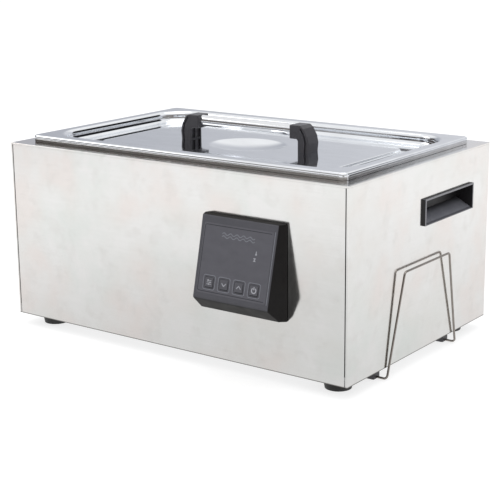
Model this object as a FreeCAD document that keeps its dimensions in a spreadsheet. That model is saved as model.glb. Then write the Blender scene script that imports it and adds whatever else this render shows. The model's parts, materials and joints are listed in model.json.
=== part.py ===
import FreeCAD, Part
import Sketcher
import math
import os

# Countertop water bath: a stainless casing round a tank, with a lid, a heater, a pump and controls.
#
# The casing frame has its origin at the middle of the casing, level with its bottom edge: X runs along the
# length, -Y is the front with the control unit, and +Z is up. Every sub-part is modelled in that frame, and its
# Placement then moves it so that the part's own origin lies at the middle of its bounding box, on the surface
# that the feet stand on.

doc = FreeCAD.newDocument("water_bath")
sheet = doc.addObject("Spreadsheet::Sheet", "sizes")

# Driving dimensions, in millimetres and degrees.
SIZES = {
    # casing
    "casing_length": 570,
    "casing_depth": 372,
    "casing_height": 253.6,
    "gauge": 1.2,
    "side_wrap": 3,
    "seam": 1.5,
    "deck_seam": 0.15,
    "deck_fold": 2.5,
    "flange": 12,
    "bend": 1,
    # feet
    "foot_height": 17,
    "foot_radius": 20,
    "foot_x": 248,
    "foot_y": 148,
    # tank
    "rim_length": 530,
    "rim_width": 325,
    "rim_height": 4.6,
    "rim_corner": 9,
    "tank_length": 500,
    "tank_width": 295,
    "tank_drop": 150,
    "tank_wall": 1,
    "tank_corner": 30,
    "tank_bottom_bend": 20,
    # lid
    "lid_edge": 5,
    "trough_length": 491,
    "trough_width": 281,
    "trough_corner": 47,
    "trough_depth": 16.2,
    "plateau_length": 402,
    "plateau_width": 184,
    "plateau_corner": 14,
    "plateau_rise": 3.5,
    "well_length": 116,
    "well_width": 96,
    "well_depth": 9,
    # lid handle
    "bar_radius": 8.3,
    "bar_height": 278,
    "bar_wall": 1.2,
    "post_inner": 93.5,
    "post_outer": 111,
    "post_half_width": 13,
    "post_height": 36.5,
    "collar_inner": 80,
    # control unit
    "unit_x": 132,
    "unit_base_width": 129,
    "unit_face_width": 119,
    "unit_bottom": 70,
    "unit_top": 196.5,
    "unit_top_reach": 11.5,
    "unit_tilt": 13.7,
    "unit_wall": 2.5,
    "overlay_width": 108,
    "overlay_height": 90,
    "overlay_centre": 143.3,
    "key_side": 15.4,
    "key_pitch": 23.5,
    "key_row": -30.5,
    "key_gap": 0.3,
    # side handles
    "grip_centre_y": 64.5,
    "grip_centre_z": 187.4,
    "grip_length": 136,
    "grip_height": 36,
    "grip_proud": 4,
    "grip_depth": 22,
    # lid rack
    "wire_radius": 1.5,
    "rack_leg_y": 93,
    "rack_top_y": 60,
    "rack_top_z": 121,
    "rack_top_x": 292,
    "rack_foot_x": 287,
    "rack_inner_x": 190,
    "rack_level": -15,
    "rack_bend": 5,
    "clip_x": 262,
    # pump and ports
    "pump_x": 175,
    "pump_y": 60,
    "return_x": 197,
    "return_y": -40,
    "drain_x": -200,
    "drain_y": 95,
    "drain_level": 60,
    "pipe_radius": 9,
    "pipe_bore": 6.5,
    "hose_radius": 11.5,
    "shaft_radius": 3,
    "running_fit": 0.05,
    # rear fittings
    "inlet_x": 200,
    "switch_x": 150,
    "fuse_x": 112,
    "rear_row": 60,
    "spigot_radius": 6.5,
    "rear_reach": 36.4,
}


class Dim:
    """A size with the spreadsheet formula that gives it, so that sums of sizes stay bound to the sheet."""

    def __init__(self, value, formula):
        self.value = float(value)
        self.formula = formula

    def __add__(self, other):
        other = dim(other)
        return Dim(self.value + other.value, f"({self.formula} + {other.formula})")

    def __sub__(self, other):
        other = dim(other)
        return Dim(self.value - other.value, f"({self.formula} - {other.formula})")

    def __mul__(self, other):
        other = dim(other)
        return Dim(self.value * other.value, f"({self.formula} * {other.formula})")

    def __truediv__(self, other):
        other = dim(other)
        return Dim(self.value / other.value, f"({self.formula} / {other.formula})")

    def __neg__(self):
        return Dim(-self.value, f"(0 - {self.formula})")

    __radd__ = __add__
    __rmul__ = __mul__

    def __rsub__(self, other):
        return dim(other) - self


def dim(value):
    """A plain number as a Dim."""
    if isinstance(value, Dim):
        return value
    return Dim(value, f"{value:.6g}" if value >= 0 else f"(0 - {-value:.6g})")


class Sizes:
    """The sheet's cells, read as attributes."""


for row, (alias, number) in enumerate(SIZES.items(), start=1):
    sheet.set(f"A{row}", alias)
    sheet.set(f"B{row}", str(number))
    sheet.setAlias(f"B{row}", alias)
    setattr(Sizes, alias, Dim(number, f"sizes.{alias}"))
doc.recompute()
S = Sizes

# Places that follow from the driving dimensions.
HALF_X = S.casing_length / 2
HALF_Y = S.casing_depth / 2
DECK = S.casing_height
PANEL_TOP = DECK - S.deck_fold - S.deck_seam
RIM_TOP = DECK + S.rim_height
LID_TOP = RIM_TOP + S.lid_edge
TROUGH = LID_TOP - S.trough_depth
PLATEAU = TROUGH + S.plateau_rise
TANK_FLOOR = RIM_TOP - S.tank_drop
MAT_TOP = TANK_FLOOR - S.tank_wall
RACK_END = S.rack_top_x + S.wire_radius
# The origin lies at the middle of the bounding box.
ORIGIN_X = (S.grip_proud + HALF_X - RACK_END) / 2
ORIGIN_Y = 0

# How far a dish's centre of curvature stands above its edge, in depths of the dish.
DISH_RISE = 1.2

ALONG = {
    "X": FreeCAD.Rotation(FreeCAD.Vector(0, 1, 0), 90),
    "Y": FreeCAD.Rotation(FreeCAD.Vector(1, 0, 0), -90),
    "Z": FreeCAD.Rotation(),
}
SUB_PARTS = []


# ---------------------------------------------------------------- builders


def put(feature, x, y, z, rotation=None):
    """Binds a feature's place to formulas."""
    point = [dim(v) for v in (x, y, z)]
    feature.Placement = FreeCAD.Placement(FreeCAD.Vector(*[d.value for d in point]), rotation or ALONG["Z"])
    for axis, d in zip("xyz", point):
        feature.setExpression(f"Placement.Base.{axis}", d.formula)
    return feature


def box(name, low, high):
    """A block between two corners."""
    low = [dim(v) for v in low]
    high = [dim(v) for v in high]
    block = doc.addObject("Part::Box", name)
    for side, a, b in zip(("Length", "Width", "Height"), low, high):
        block.setExpression(side, (b - a).formula)
    return put(block, *low)


def block(name, half_x, half_y, bottom, top, x=0, y=0):
    """A block centred on (x, y)."""
    x, y = dim(x), dim(y)
    return box(name, (x - half_x, y - half_y, bottom), (x + half_x, y + half_y, top))


def ordered(a, b):
    """Two sizes, the lower first."""
    return (a, b) if a.value < b.value else (b, a)


def block_at(name, x, y, z, half_x, length, half_z):
    """A block that starts at y, centred on (x, z)."""
    x, z = dim(x), dim(z)
    return box(name, (x - half_x, y, z - half_z), (x + half_x, dim(y) + length, z + half_z))


def rod(name, start, radius, length, along="Z"):
    """A cylinder from start, along an axis."""
    cylinder = doc.addObject("Part::Cylinder", name)
    cylinder.setExpression("Radius", dim(radius).formula)
    cylinder.setExpression("Height", dim(length).formula)
    return put(cylinder, *start, rotation=ALONG[along])


def ball(name, x, y, z, radius, along="Z"):
    """A sphere with its poles on an axis."""
    sphere = doc.addObject("Part::Sphere", name)
    sphere.setExpression("Radius", dim(radius).formula)
    return put(sphere, x, y, z, ALONG[along])


def cut(name, base, *tools):
    """base without the tools."""
    for count, tool in enumerate(tools):
        result = doc.addObject("Part::Cut", name if count == len(tools) - 1 else f"{name}_cut_{count}")
        result.Base = base
        result.Tool = tool
        base = result
    return base


def fuse(name, *shapes):
    """All shapes as one solid."""
    result = doc.addObject("Part::MultiFuse", name)
    result.Shapes = list(shapes)
    result.Refine = True
    return result


def group(name, *shapes):
    """Separate solids kept together."""
    result = doc.addObject("Part::Compound", name)
    result.Links = list(shapes)
    return result


def flat_at(level):
    """Picks the edges that lie at one height."""
    z = dim(level).value
    return lambda edge: abs(edge.BoundBox.ZMin - z) < 0.01 and abs(edge.BoundBox.ZMax - z) < 0.01


def upright(edge):
    """Picks the edges that run along Z."""
    b = edge.BoundBox
    return b.XLength < 0.01 and b.YLength < 0.01


def reach_x(edge):
    """How far an edge reaches from the middle, along X."""
    return max(abs(edge.BoundBox.XMax), abs(edge.BoundBox.XMin))


def fillet(name, base, *rules):
    """Rounds edges of base. Each rule is a pick function and a radius; the first that fits an edge counts."""
    doc.recompute()
    edges = []
    for number, edge in enumerate(base.Shape.Edges, start=1):
        radius = next((dim(r).value for pick, r in rules if pick(edge)), None)
        if radius:
            edges.append((number, radius, radius))
    result = doc.addObject("Part::Fillet", name)
    result.Base = base
    result.Edges = edges
    doc.recompute()
    return result


def rounded(name, half_x, half_y, bottom, top, corner, x=0, y=0, foot=None):
    """A block with round upright corners, and with a round bottom edge if foot gives its radius."""
    result = fillet(name, block(f"{name}_block", half_x, half_y, bottom, top, x, y), (upright, corner))
    if foot is None:
        return result
    return fillet(f"{name}_foot", result, (flat_at(bottom), foot))


def dish(name, half_x, half_y, depth, level, skin=0):
    """The hollow of a shallow elliptic dish below a level, made bigger by skin all round."""
    rise = depth * DISH_RISE
    share = math.sqrt(1 - (DISH_RISE / (DISH_RISE + 1)) ** 2)
    ellipsoid = doc.addObject("Part::Ellipsoid", name)
    for axis, radius in (("Radius1", depth + rise), ("Radius2", half_x / share), ("Radius3", half_y / share)):
        ellipsoid.setExpression(axis, (radius + skin).formula)
    return put(ellipsoid, 0, 0, level + rise)


def body_sketch(body, name, role, offset=0):
    """A sketch on one of the body's own origin planes, moved along the plane's normal."""
    sketch = body.newObject("Sketcher::SketchObject", name)
    plane = next(f for f in body.Origin.OriginFeatures if f.Role == role)
    sketch.AttachmentSupport = (plane, [""])
    sketch.MapMode = "FlatFace"
    offset = dim(offset)
    sketch.AttachmentOffset = FreeCAD.Placement(FreeCAD.Vector(0, 0, offset.value), FreeCAD.Rotation())
    sketch.setExpression("AttachmentOffset.Base.z", offset.formula)
    return sketch


def pin_point(sketch, line, point):
    """Holds the start of a line at a bound place."""
    for kind, d in zip(("DistanceX", "DistanceY"), point):
        index = sketch.addConstraint(Sketcher.Constraint(kind, -1, 1, line, 1, d.value))
        sketch.setExpression(f"Constraints[{index}]", d.formula)


def outline(sketch, points):
    """A closed outline of straight lines through bound points."""
    points = [(dim(a), dim(b)) for a, b in points]
    corners = [FreeCAD.Vector(a.value, b.value, 0) for a, b in points]
    count = len(corners)
    for n in range(count):
        sketch.addGeometry(Part.LineSegment(corners[n], corners[(n + 1) % count]), False)
    for n in range(count):
        sketch.addConstraint(Sketcher.Constraint("Coincident", n, 2, (n + 1) % count, 1))
    for n, point in enumerate(points):
        pin_point(sketch, n, point)


def turned(name, profile, x, y, z, along="Z"):
    """A body turned about its own axis: profile is a list of (radius, height) points."""
    body = doc.addObject("PartDesign::Body", name)
    sketch = body_sketch(body, f"{name}_profile", "XZ_Plane")
    outline(sketch, profile)
    turn = body.newObject("PartDesign::Revolution", f"{name}_turn")
    turn.Profile = sketch
    turn.ReferenceAxis = (sketch, ["V_Axis"])
    turn.Angle = 360
    sketch.Visibility = False
    doc.recompute()
    return put(body, x, y, z, rotation=ALONG[along])


def slab(name, role, points, length, offset=0, symmetric=False):
    """A body extruded from a straight-sided outline on an origin plane."""
    body = doc.addObject("PartDesign::Body", name)
    sketch = body_sketch(body, f"{name}_profile", role, offset)
    outline(sketch, points)
    pad = body.newObject("PartDesign::Pad", f"{name}_pad")
    pad.Profile = sketch
    pad.setExpression("Length", dim(length).formula)
    pad.Midplane = symmetric
    doc.recompute()
    return body


def body_fillet(body, name, radius, pick):
    """Rounds edges of a body's last feature."""
    base = body.Tip
    names = [f"Edge{n}" for n, edge in enumerate(base.Shape.Edges, start=1) if pick(edge)]
    result = body.newObject("PartDesign::Fillet", name)
    result.Base = (base, names)
    result.setExpression("Radius", dim(radius).formula)
    doc.recompute()
    return body


def repeat(body, name, feature, axis, count):
    """Repeats a body's feature round an axis."""
    pattern = body.newObject("PartDesign::PolarPattern", name)
    pattern.Originals = [feature]
    pattern.Axis = axis
    pattern.Angle = 360
    pattern.Occurrences = count
    body.Tip = pattern
    doc.recompute()


def bent_tube(name, points, bend, radius, bore=None):
    """A round tube, or a solid wire, along straight runs joined by tangent arcs."""
    route = [FreeCAD.Vector(*[dim(v).value for v in p]) for p in points]
    bend = dim(bend).value
    edges = []
    start = route[0]
    for before, corner, after in zip(route, route[1:], route[2:]):
        arrive = (corner - before).normalize()
        leave = (after - corner).normalize()
        turn = arrive.getAngle(leave)
        reach = bend * math.tan(turn / 2)
        first = corner - arrive * reach
        last = corner + leave * reach
        inward = (leave - arrive).normalize()
        middle = corner + inward * (bend / math.cos(turn / 2) - bend)
        edges.append(Part.LineSegment(start, first).toShape())
        edges.append(Part.Arc(first, middle, last).toShape())
        start = last
    edges.append(Part.LineSegment(start, route[-1]).toShape())
    path = Part.Wire(edges)
    heading = route[1] - route[0]
    solids = []
    for size in (radius, bore):
        if size is not None:
            section = Part.Wire(Part.makeCircle(dim(size).value, route[0], heading))
            solids.append(path.makePipeShell([section], True, True, 2))
    tube = doc.addObject("Part::Feature", name)
    tube.Shape = solids[0] if bore is None else solids[0].cut(solids[1])
    return tube


def sub_part(feature, node):
    """Names a finished sub-part and moves it to the part's origin."""
    feature.Label = node
    base = feature.Placement.Base
    bound = dict(feature.ExpressionEngine)
    shift = {"x": dim(ORIGIN_X), "y": dim(ORIGIN_Y), "z": S.foot_height}
    moved = []
    for axis in "xyz":
        own = bound.get(f"Placement.Base.{axis}") or bound.get(f".Placement.Base.{axis}")
        here = getattr(base, axis)
        moved.append(dim(here) + shift[axis] if own is None else Dim(here, own) + shift[axis])
    put(feature, *moved, rotation=feature.Placement.Rotation)
    SUB_PARTS.append(feature)
    return feature


# ---------------------------------------------------------------- casing

FRONT_EDGE = HALF_X - S.side_wrap - S.seam
SCREW_X = S.unit_base_width / 2 - 9
UNIT_SCREWS = [(-1, 84), (1, 84), (-1, 183), (1, 183)]
PLATE_INNER_X = HALF_X - S.gauge
PLATE_INNER_Y = HALF_Y - S.gauge
INLET_HALF_X = 13.8
INLET_HALF_Z = 9.8
SWITCH_HALF_X = 11.5
SWITCH_HALF_Z = 15


GRIP_LIP = 1.2
GRIP_HOLE_Y = S.grip_length / 2 - GRIP_LIP
GRIP_HOLE_Z = S.grip_height / 2 - GRIP_LIP


def face_panel(name, side, holes):
    """The front (side -1) or rear (side 1) panel: a plate with a return flange at each end."""
    outer = side * HALF_Y
    inner = side * PLATE_INNER_Y
    back = side * (PLATE_INNER_Y - S.flange)
    low_y, high_y = (outer, inner) if side < 0 else (inner, outer)
    plate = box(f"{name}_plate", (-FRONT_EDGE, low_y, 0), (FRONT_EDGE, high_y, PANEL_TOP))
    low_y, high_y = (inner, back) if side < 0 else (back, inner)
    returns = []
    for end, sign in (("left", -1), ("right", 1)):
        edge = sign * FRONT_EDGE
        inside = sign * (FRONT_EDGE - S.gauge)
        low_x, high_x = (edge, inside) if sign < 0 else (inside, edge)
        bottom = S.gauge + S.flange + 1
        returns.append(box(f"{name}_{end}_return", (low_x, low_y, bottom), (high_x, high_y, PANEL_TOP - 3)))
    return cut(name, fuse(f"{name}_sheet", plate, *returns), *holes)


def front_panel():
    """Front panel with the cable hole and the four screw holes behind the control unit."""
    y = -HALF_Y - 1
    depth = S.gauge + 2
    holes = [rod("cable_hole", (S.unit_x, y, 112), 12, depth, "Y")]
    for n, (sx, z) in enumerate(UNIT_SCREWS):
        holes.append(rod(f"unit_hole_{n}", (S.unit_x + sx * SCREW_X, y, z), 2.1, depth, "Y"))
    sub_part(face_panel("front_sheet", -1, [group("front_holes", *holes)]), "front_panel")


PANEL_SCREWS = [(sx * 276.5, z) for sx in (-1, 1) for z in (30, 125, 220)]


def rear_panel():
    """Rear panel with vent slots and the cut-outs for the drain, inlet, switch and fuse."""
    y = PLATE_INNER_Y - 1
    depth = S.gauge + 2
    holes = [
        rod("drain_hole", (S.drain_x, y, S.drain_level), S.pipe_radius, depth, "Y"),
        rod("fuse_hole", (S.fuse_x, y, S.rear_row), 6.2, depth, "Y"),
        block_at("inlet_hole", S.inlet_x, y, S.rear_row, INLET_HALF_X, depth, INLET_HALF_Z),
        block_at("switch_hole", S.switch_x, y, S.rear_row, SWITCH_HALF_X, depth, SWITCH_HALF_Z),
    ]
    for column, x in enumerate((-105, -45, 15)):
        for row in range(7):
            z = 96 + 9 * row
            holes.append(box(f"vent_{column}_{row}", (x, y, z), (x + 48, y + depth, z + 3.2)))
    for n, (x, z) in enumerate(PANEL_SCREWS):
        holes.append(rod(f"rear_screw_hole_{n}", (x, y, z), 1.6, depth, "Y"))
    sub_part(face_panel("rear_sheet", 1, [group("rear_holes", *holes)]), "rear_panel")


def panel_screws():
    """Pan-head screws along both ends of the rear panel, each into a nut plate behind it."""
    screws = []
    for n, (x, z) in enumerate(PANEL_SCREWS):
        head = rod(f"rear_screw_head_{n}", (x, HALF_Y, z), 3, 1.6, "Y")
        slot = box(f"rear_screw_slot_{n}", (x - 3.2, HALF_Y + 0.9, z - 0.35), (x + 3.2, HALF_Y + 2, z + 0.35))
        shank = rod(f"rear_screw_shank_{n}", (x, HALF_Y - 7, z), 1.6, 7, "Y")
        screws.append(fuse(f"rear_screw_{n}", cut(f"rear_screw_top_{n}", head, slot), shank))
    sub_part(group("screw_set", *screws), "panel_screws")


def side_panel(node, side):
    """A side panel that wraps a little way round both upright corners, with the hole for its grip."""
    outer, inner, lip = side * HALF_X, side * PLATE_INNER_X, side * (HALF_X - S.side_wrap)
    low_x, high_x = (outer, inner) if side < 0 else (inner, outer)
    sheet_parts = [box(f"{node}_plate", (low_x, -HALF_Y, 0), (high_x, HALF_Y, PANEL_TOP))]
    low_x, high_x = (inner, lip) if side < 0 else (lip, inner)
    for end, sign in (("front", -1), ("rear", 1)):
        low_y, high_y = sorted((sign * HALF_Y, sign * PLATE_INNER_Y), key=lambda d: d.value)
        sheet_parts.append(box(f"{node}_{end}_lip", (low_x, low_y, 0), (high_x, high_y, PANEL_TOP)))
    corner = (lambda edge: upright(edge) and abs(abs(edge.BoundBox.XMin) - HALF_X.value) < 0.01, S.bend)
    bent = fillet(f"{node}_bent", fuse(f"{node}_folded", *sheet_parts), corner)
    hole = box(
        f"{node}_grip_hole",
        (side * HALF_X - 3, S.grip_centre_y - GRIP_HOLE_Y, S.grip_centre_z - GRIP_HOLE_Z),
        (side * HALF_X + 3, S.grip_centre_y + GRIP_HOLE_Y, S.grip_centre_z + GRIP_HOLE_Z),
    )
    sub_part(cut(f"{node}_sheet", bent, hole), node)


def top_deck():
    """The deck: a sheet with its edge folded down, and the opening that the tank hangs in."""
    full = fillet(
        "deck_full",
        block("deck_block", HALF_X, HALF_Y, DECK - S.deck_fold, DECK),
        (upright, S.bend),
        (flat_at(DECK), S.bend * 0.7),
    )
    under = block("deck_under", PLATE_INNER_X, PLATE_INNER_Y, DECK - S.deck_fold - 1, DECK - S.gauge)
    opening = rounded(
        "deck_opening",
        S.tank_length / 2 + 1,
        S.tank_width / 2 + 1,
        DECK - 5,
        DECK + 5,
        S.tank_corner + 1,
    )
    sub_part(cut("deck_sheet", full, under, opening), "top_deck")


BOARD_CENTRE = (-50, -95)
BOARD_HALF = (70, 45)
BOARD_LEVEL = 12
BOARD_THICKNESS = 1.6
FEET = [(sx * S.foot_x, sy * S.foot_y) for sx in (-1, 1) for sy in (-1, 1)]
CLIPS = [-1 * S.rack_leg_y, S.rack_leg_y]


def base_plate():
    """The base: a tray with its edge folded up inside the panels, with vent slots, holes and board pillars."""
    gap = 0.1
    full = block("base_full", PLATE_INNER_X - gap, PLATE_INNER_Y - gap, 0, S.gauge + S.flange)
    inside = block(
        "base_inside",
        PLATE_INNER_X - gap - S.gauge,
        PLATE_INNER_Y - gap - S.gauge,
        S.gauge,
        S.gauge + S.flange + 1,
    )
    holes = []
    for n, (x, y) in enumerate(FEET):
        holes.append(rod(f"base_foot_hole_{n}", (x, y, -1), 2.5, S.gauge + 2))
    for n, y in enumerate(CLIPS):
        holes.append(rod(f"base_clip_hole_{n}", (S.clip_x, y, -1), 2, S.gauge + 2))
    for n in range(9):
        x = -120 + 16 * n
        holes.append(box(f"base_vent_{n}", (x, -60, -1), (x + 5, 20, S.gauge + 1)))
    pillars = []
    for n, (sx, sy) in enumerate([(-1, -1), (1, -1), (-1, 1), (1, 1)]):
        x = BOARD_CENTRE[0] + sx * (BOARD_HALF[0] - 7)
        y = BOARD_CENTRE[1] + sy * (BOARD_HALF[1] - 7)
        pillars.append(rod(f"board_pillar_{n}", (x, y, S.gauge / 2), 4, BOARD_LEVEL - S.gauge / 2))
    tray = cut("base_tray", full, inside, group("base_holes", *holes))
    sub_part(fuse("base_with_pillars", tray, *pillars), "base_plate")


def rubber_feet():
    """Four round rubber feet, each with a screw recess in its underside."""
    feet = []
    profile = [
        (3, 0),
        (S.foot_radius, 0),
        (S.foot_radius, -3),
        (S.foot_radius - 2.5, -S.foot_height),
        (6, -S.foot_height),
        (6, 5 - S.foot_height),
        (3, 5 - S.foot_height),
    ]
    for n, (x, y) in enumerate(FEET):
        feet.append(turned(f"foot_{n}", profile, x, y, 0))
    sub_part(group("foot_set", *feet), "rubber_feet")


def base_screws():
    """The screws up through the feet and the rack clips, each with a nut inside the base."""
    screws = []
    places = [(x, y, 5 - S.foot_height, 5, 2.5) for x, y in FEET]
    places += [(S.clip_x, y, -7.8, 3.4, 2) for y in CLIPS]
    for n, (x, y, seat, head, shank) in enumerate(places):
        cap = rod(f"base_screw_head_{n}", (x, y, seat - 2.2), head, 2.2)
        stem = rod(f"base_screw_stem_{n}", (x, y, seat), shank, S.gauge + 6 - seat)
        nut = rod(f"base_screw_nut_{n}", (x, y, S.gauge), shank + 2, 3.5)
        screws.append(fuse(f"base_screw_{n}", cap, stem, nut))
    sub_part(group("base_screw_set", *screws), "base_screws")


# ---------------------------------------------------------------- tank

PORTS = [(S.pump_x, S.pump_y), (S.return_x, S.return_y), (S.drain_x, S.drain_y)]
PROBE_LEVEL = 142


def water_tank():
    """The deep-drawn tank: a rim that is turned down at its edge, round walls and a round bottom edge."""
    wall = S.tank_wall
    rim = rounded("rim_plate", S.rim_length / 2, S.rim_width / 2, DECK + 0.3, RIM_TOP, S.rim_corner)
    under = rounded(
        "rim_under",
        S.rim_length / 2 - wall,
        S.rim_width / 2 - wall,
        DECK,
        RIM_TOP - wall,
        S.rim_corner - wall,
    )
    lipped = fillet("rim_soft", cut("rim_lipped", rim, under), (flat_at(RIM_TOP), wall * 0.8))
    outside = rounded(
        "tank_outside",
        S.tank_length / 2,
        S.tank_width / 2,
        MAT_TOP,
        RIM_TOP - wall / 2,
        S.tank_corner,
        foot=S.tank_bottom_bend,
    )
    inside = rounded(
        "tank_inside",
        S.tank_length / 2 - wall,
        S.tank_width / 2 - wall,
        TANK_FLOOR,
        RIM_TOP + 1,
        S.tank_corner - wall,
        foot=S.tank_bottom_bend - wall,
    )
    ports = [rod(f"tank_port_{n}", (x, y, MAT_TOP - 1), S.pipe_radius, 4) for n, (x, y) in enumerate(PORTS)]
    ports.append(rod("probe_port", (-S.tank_length / 2 - 1, 0, PROBE_LEVEL), 4, 4, "X"))
    tank = cut("tank_shell", fuse("tank_solid", lipped, outside), inside, group("tank_ports", *ports))
    sub_part(tank, "water_tank")


def ring(name, outer, inner, bottom, top):
    """A flat ring with round corners. outer and inner are (half length, half width, corner radius)."""
    hole = rounded(f"{name}_hole", inner[0], inner[1], bottom - 1, top + 1, inner[2])
    return cut(name, rounded(f"{name}_whole", outer[0], outer[1], bottom, top, outer[2]), hole)


def tank_rim_seal():
    """The silicone seal under the tank's rim."""
    outer = (S.rim_length / 2 - 4, S.rim_width / 2 - 4, 6)
    inner = (S.tank_length / 2 + 2, S.tank_width / 2 + 2, S.tank_corner + 2)
    sub_part(ring("seal_ring", outer, inner, DECK, RIM_TOP - S.tank_wall), "tank_rim_seal")


def tank_insulation():
    """The insulating jacket round the tank's walls."""
    inner = (S.tank_length / 2, S.tank_width / 2, S.tank_corner)
    outer = (inner[0] + 8, inner[1] + 8, inner[2] + 8)
    sub_part(ring("jacket_ring", outer, inner, PROBE_LEVEL + 13, DECK - 8), "tank_insulation")


def floor_fitting(node, x, y):
    """A bulkhead fitting through the tank floor, with its flange inside and its nut below."""
    profile = [
        (S.pipe_bore, 22 + 3.2),
        (S.pipe_bore, 0),
        (S.pipe_radius, 0),
        (S.pipe_radius, 14),
        (15, 14),
        (15, 22),
        (S.pipe_radius, 22),
        (S.pipe_radius, 23),
        (17, 23),
        (17, 25),
        (16, 25 + 1.2),
        (8, 25 + 1.2),
    ]
    sub_part(turned(f"{node}_body", profile, x, y, MAT_TOP - 22), node)


def suction_strainer():
    """A domed cap with slots all round it, over the suction fitting."""
    profile = [(23.8, 0), (25, 0), (25, 12), (21, 16), (0, 16), (0, 14.8), (20.5, 14.8), (23.8, 11.5)]
    cap = turned("strainer_cap", profile, S.pump_x, S.pump_y, TANK_FLOOR)
    sketch = body_sketch(cap, "strainer_slot_profile", "XZ_Plane")
    outline(sketch, [(-1.6, 2.5), (1.6, 2.5), (1.6, 9.5), (-1.6, 9.5)])
    slot = cap.newObject("PartDesign::Pocket", "strainer_slot")
    slot.Profile = sketch
    slot.Length = 30
    before = cap.Shape.Volume
    doc.recompute()
    if cap.Shape.Volume >= before:
        slot.Reversed = True
        doc.recompute()
    repeat(cap, "strainer_slots", slot, (sketch, ["V_Axis"]), 16)
    sub_part(cap, "suction_strainer")


def heating():
    """The heating mat under the tank floor, its overheat cut-out, and the probe through the tank's wall."""
    mat = rounded("mat_pad", 140, 115, MAT_TOP - 3, MAT_TOP, 12, x=-25)
    sub_part(mat, "heating_mat")
    cutout = [(0, -10), (8, -10), (8, -4), (11, -4), (11, -2.5), (8, -2.5), (8, 0), (0, 0)]
    sub_part(turned("cutout_can", cutout, -40, 0, MAT_TOP - 3), "thermal_cutout")
    probe = [(0, -14), (3, -14), (3, -10), (7, -10), (7, 0), (4, 0), (4, 1), (7, 1), (7, 3), (2.5, 3)]
    probe += [(2.5, 34), (0, 36)]
    sub_part(turned("probe_stem", probe, -S.tank_length / 2, 0, PROBE_LEVEL, "X"), "temperature_probe")


# ---------------------------------------------------------------- circulation pump

PUMP_BACK = 44
PUMP_AXIS_LEVEL = 57


def pump():
    """The centrifugal pump under the tank: a bottom motor, a volute on top and the inlet pointing up."""
    x, y = S.pump_x, S.pump_y
    bracket = block("bracket_plate", 42, 42, S.gauge, 4.2, x, y)
    collar = rod("bracket_collar", (x, y, 4.2), 31, 14)
    seat = rod("bracket_seat", (x, y, 4.2), 28, 20)
    sub_part(cut("bracket_solid", fuse("bracket_form", bracket, collar), seat), "pump_bracket")

    can = [(0, 4.2), (28, 4.2), (28, PUMP_BACK), (26.5, PUMP_BACK), (26.5, 6.2), (0, 6.2)]
    sub_part(turned("motor_can", can, x, y, 0), "pump_motor_can")
    stator = [(16.5, 8), (26.5, 8), (26.5, 38), (16.5, 38)]
    sub_part(turned("stator_ring", stator, x, y, 0), "pump_stator")

    shaft_hole = S.shaft_radius + S.running_fit
    lower = turned("lower_bush", [(shaft_hole, 6.2), (7, 6.2), (7, 8.4), (shaft_hole, 8.4)], x, y, 0)
    upper = turned("upper_bush", [(shaft_hole, 40), (7, 40), (7, 47.6), (shaft_hole, 47.6)], x, y, 0)
    sub_part(group("bush_pair", lower, upper), "pump_bushes")

    rotor = [
        (0, 6.6),
        (S.shaft_radius, 6.6),
        (S.shaft_radius, 9),
        (15.5, 9),
        (15.5, 37),
        (S.shaft_radius, 37),
        (S.shaft_radius, 60),
        (0, 60),
    ]
    sub_part(turned("rotor_shaft", rotor, x, y, 0), "pump_rotor")

    volute_profile = [(7, PUMP_BACK), (35, PUMP_BACK), (35, 68), (33, 70), (11, 70), (S.pipe_radius, 72)]
    volute_profile += [(S.pipe_radius, 82), (S.pipe_bore, 82), (S.pipe_bore, 66), (31, 66), (31, 48), (7, 48)]
    volute = turned("volute_shell", volute_profile, x, y, 0)
    start = (S.return_x, y - 50, PUMP_AXIS_LEVEL)
    spout = rod("outlet_spout", start, S.pipe_radius, 42, "Y")
    chamber = rod("volute_chamber", (x, y, 48), 31, 18)
    bore = rod("outlet_bore", start, S.pipe_bore, 48, "Y")
    case = cut("volute_case", fuse("volute_with_spout", volute, cut("spout_end", spout, chamber)), bore)
    sub_part(case, "pump_housing")

    hub = [(S.shaft_radius, 49.4), (27, 49.4), (27, 51.4), (7, 51.4), (7, 59), (S.shaft_radius, 59)]
    wheel = turned("impeller_wheel", hub, x, y, 0)
    sketch = body_sketch(wheel, "vane_profile", "XY_Plane", 51)
    outline(sketch, [(6.5, -0.8), (26, -8), (26, -6), (6.5, 0.8)])
    vane = wheel.newObject("PartDesign::Pad", "vane")
    vane.Profile = sketch
    vane.Length = 9
    doc.recompute()
    repeat(wheel, "vanes", vane, (sketch, ["N_Axis"]), 6)
    sub_part(wheel, "pump_impeller")


def hoses():
    """The suction, return and drain hoses, each pushed over a spout and over a floor fitting."""
    x, y = S.pump_x, S.pump_y
    suction = cut(
        "suction_tube",
        rod("suction_outer", (x, y, 74), S.hose_radius, 22),
        rod("suction_inner", (x, y, 73), S.pipe_radius, 24),
    )
    sub_part(suction, "suction_hose")
    level = PUMP_AXIS_LEVEL
    route = [(S.return_x, y - 40, level), (S.return_x, S.return_y, level), (S.return_x, S.return_y, 97)]
    sub_part(bent_tube("return_tube", route, 24, S.hose_radius, S.pipe_radius), "return_hose")
    route = [
        (S.drain_x, S.drain_y, 97),
        (S.drain_x, S.drain_y, S.drain_level),
        (S.drain_x, HALF_Y - 8, S.drain_level),
    ]
    sub_part(bent_tube("drain_tube", route, 22, S.hose_radius, S.pipe_radius), "drain_hose")


# ---------------------------------------------------------------- drain tap

BALL_Y = HALF_Y + 13
BALL_RADIUS = 8.5
BALL_BORE = 5
STEM_RADIUS = 3
LEVER_LEVEL = S.drain_level + 14.6


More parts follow.
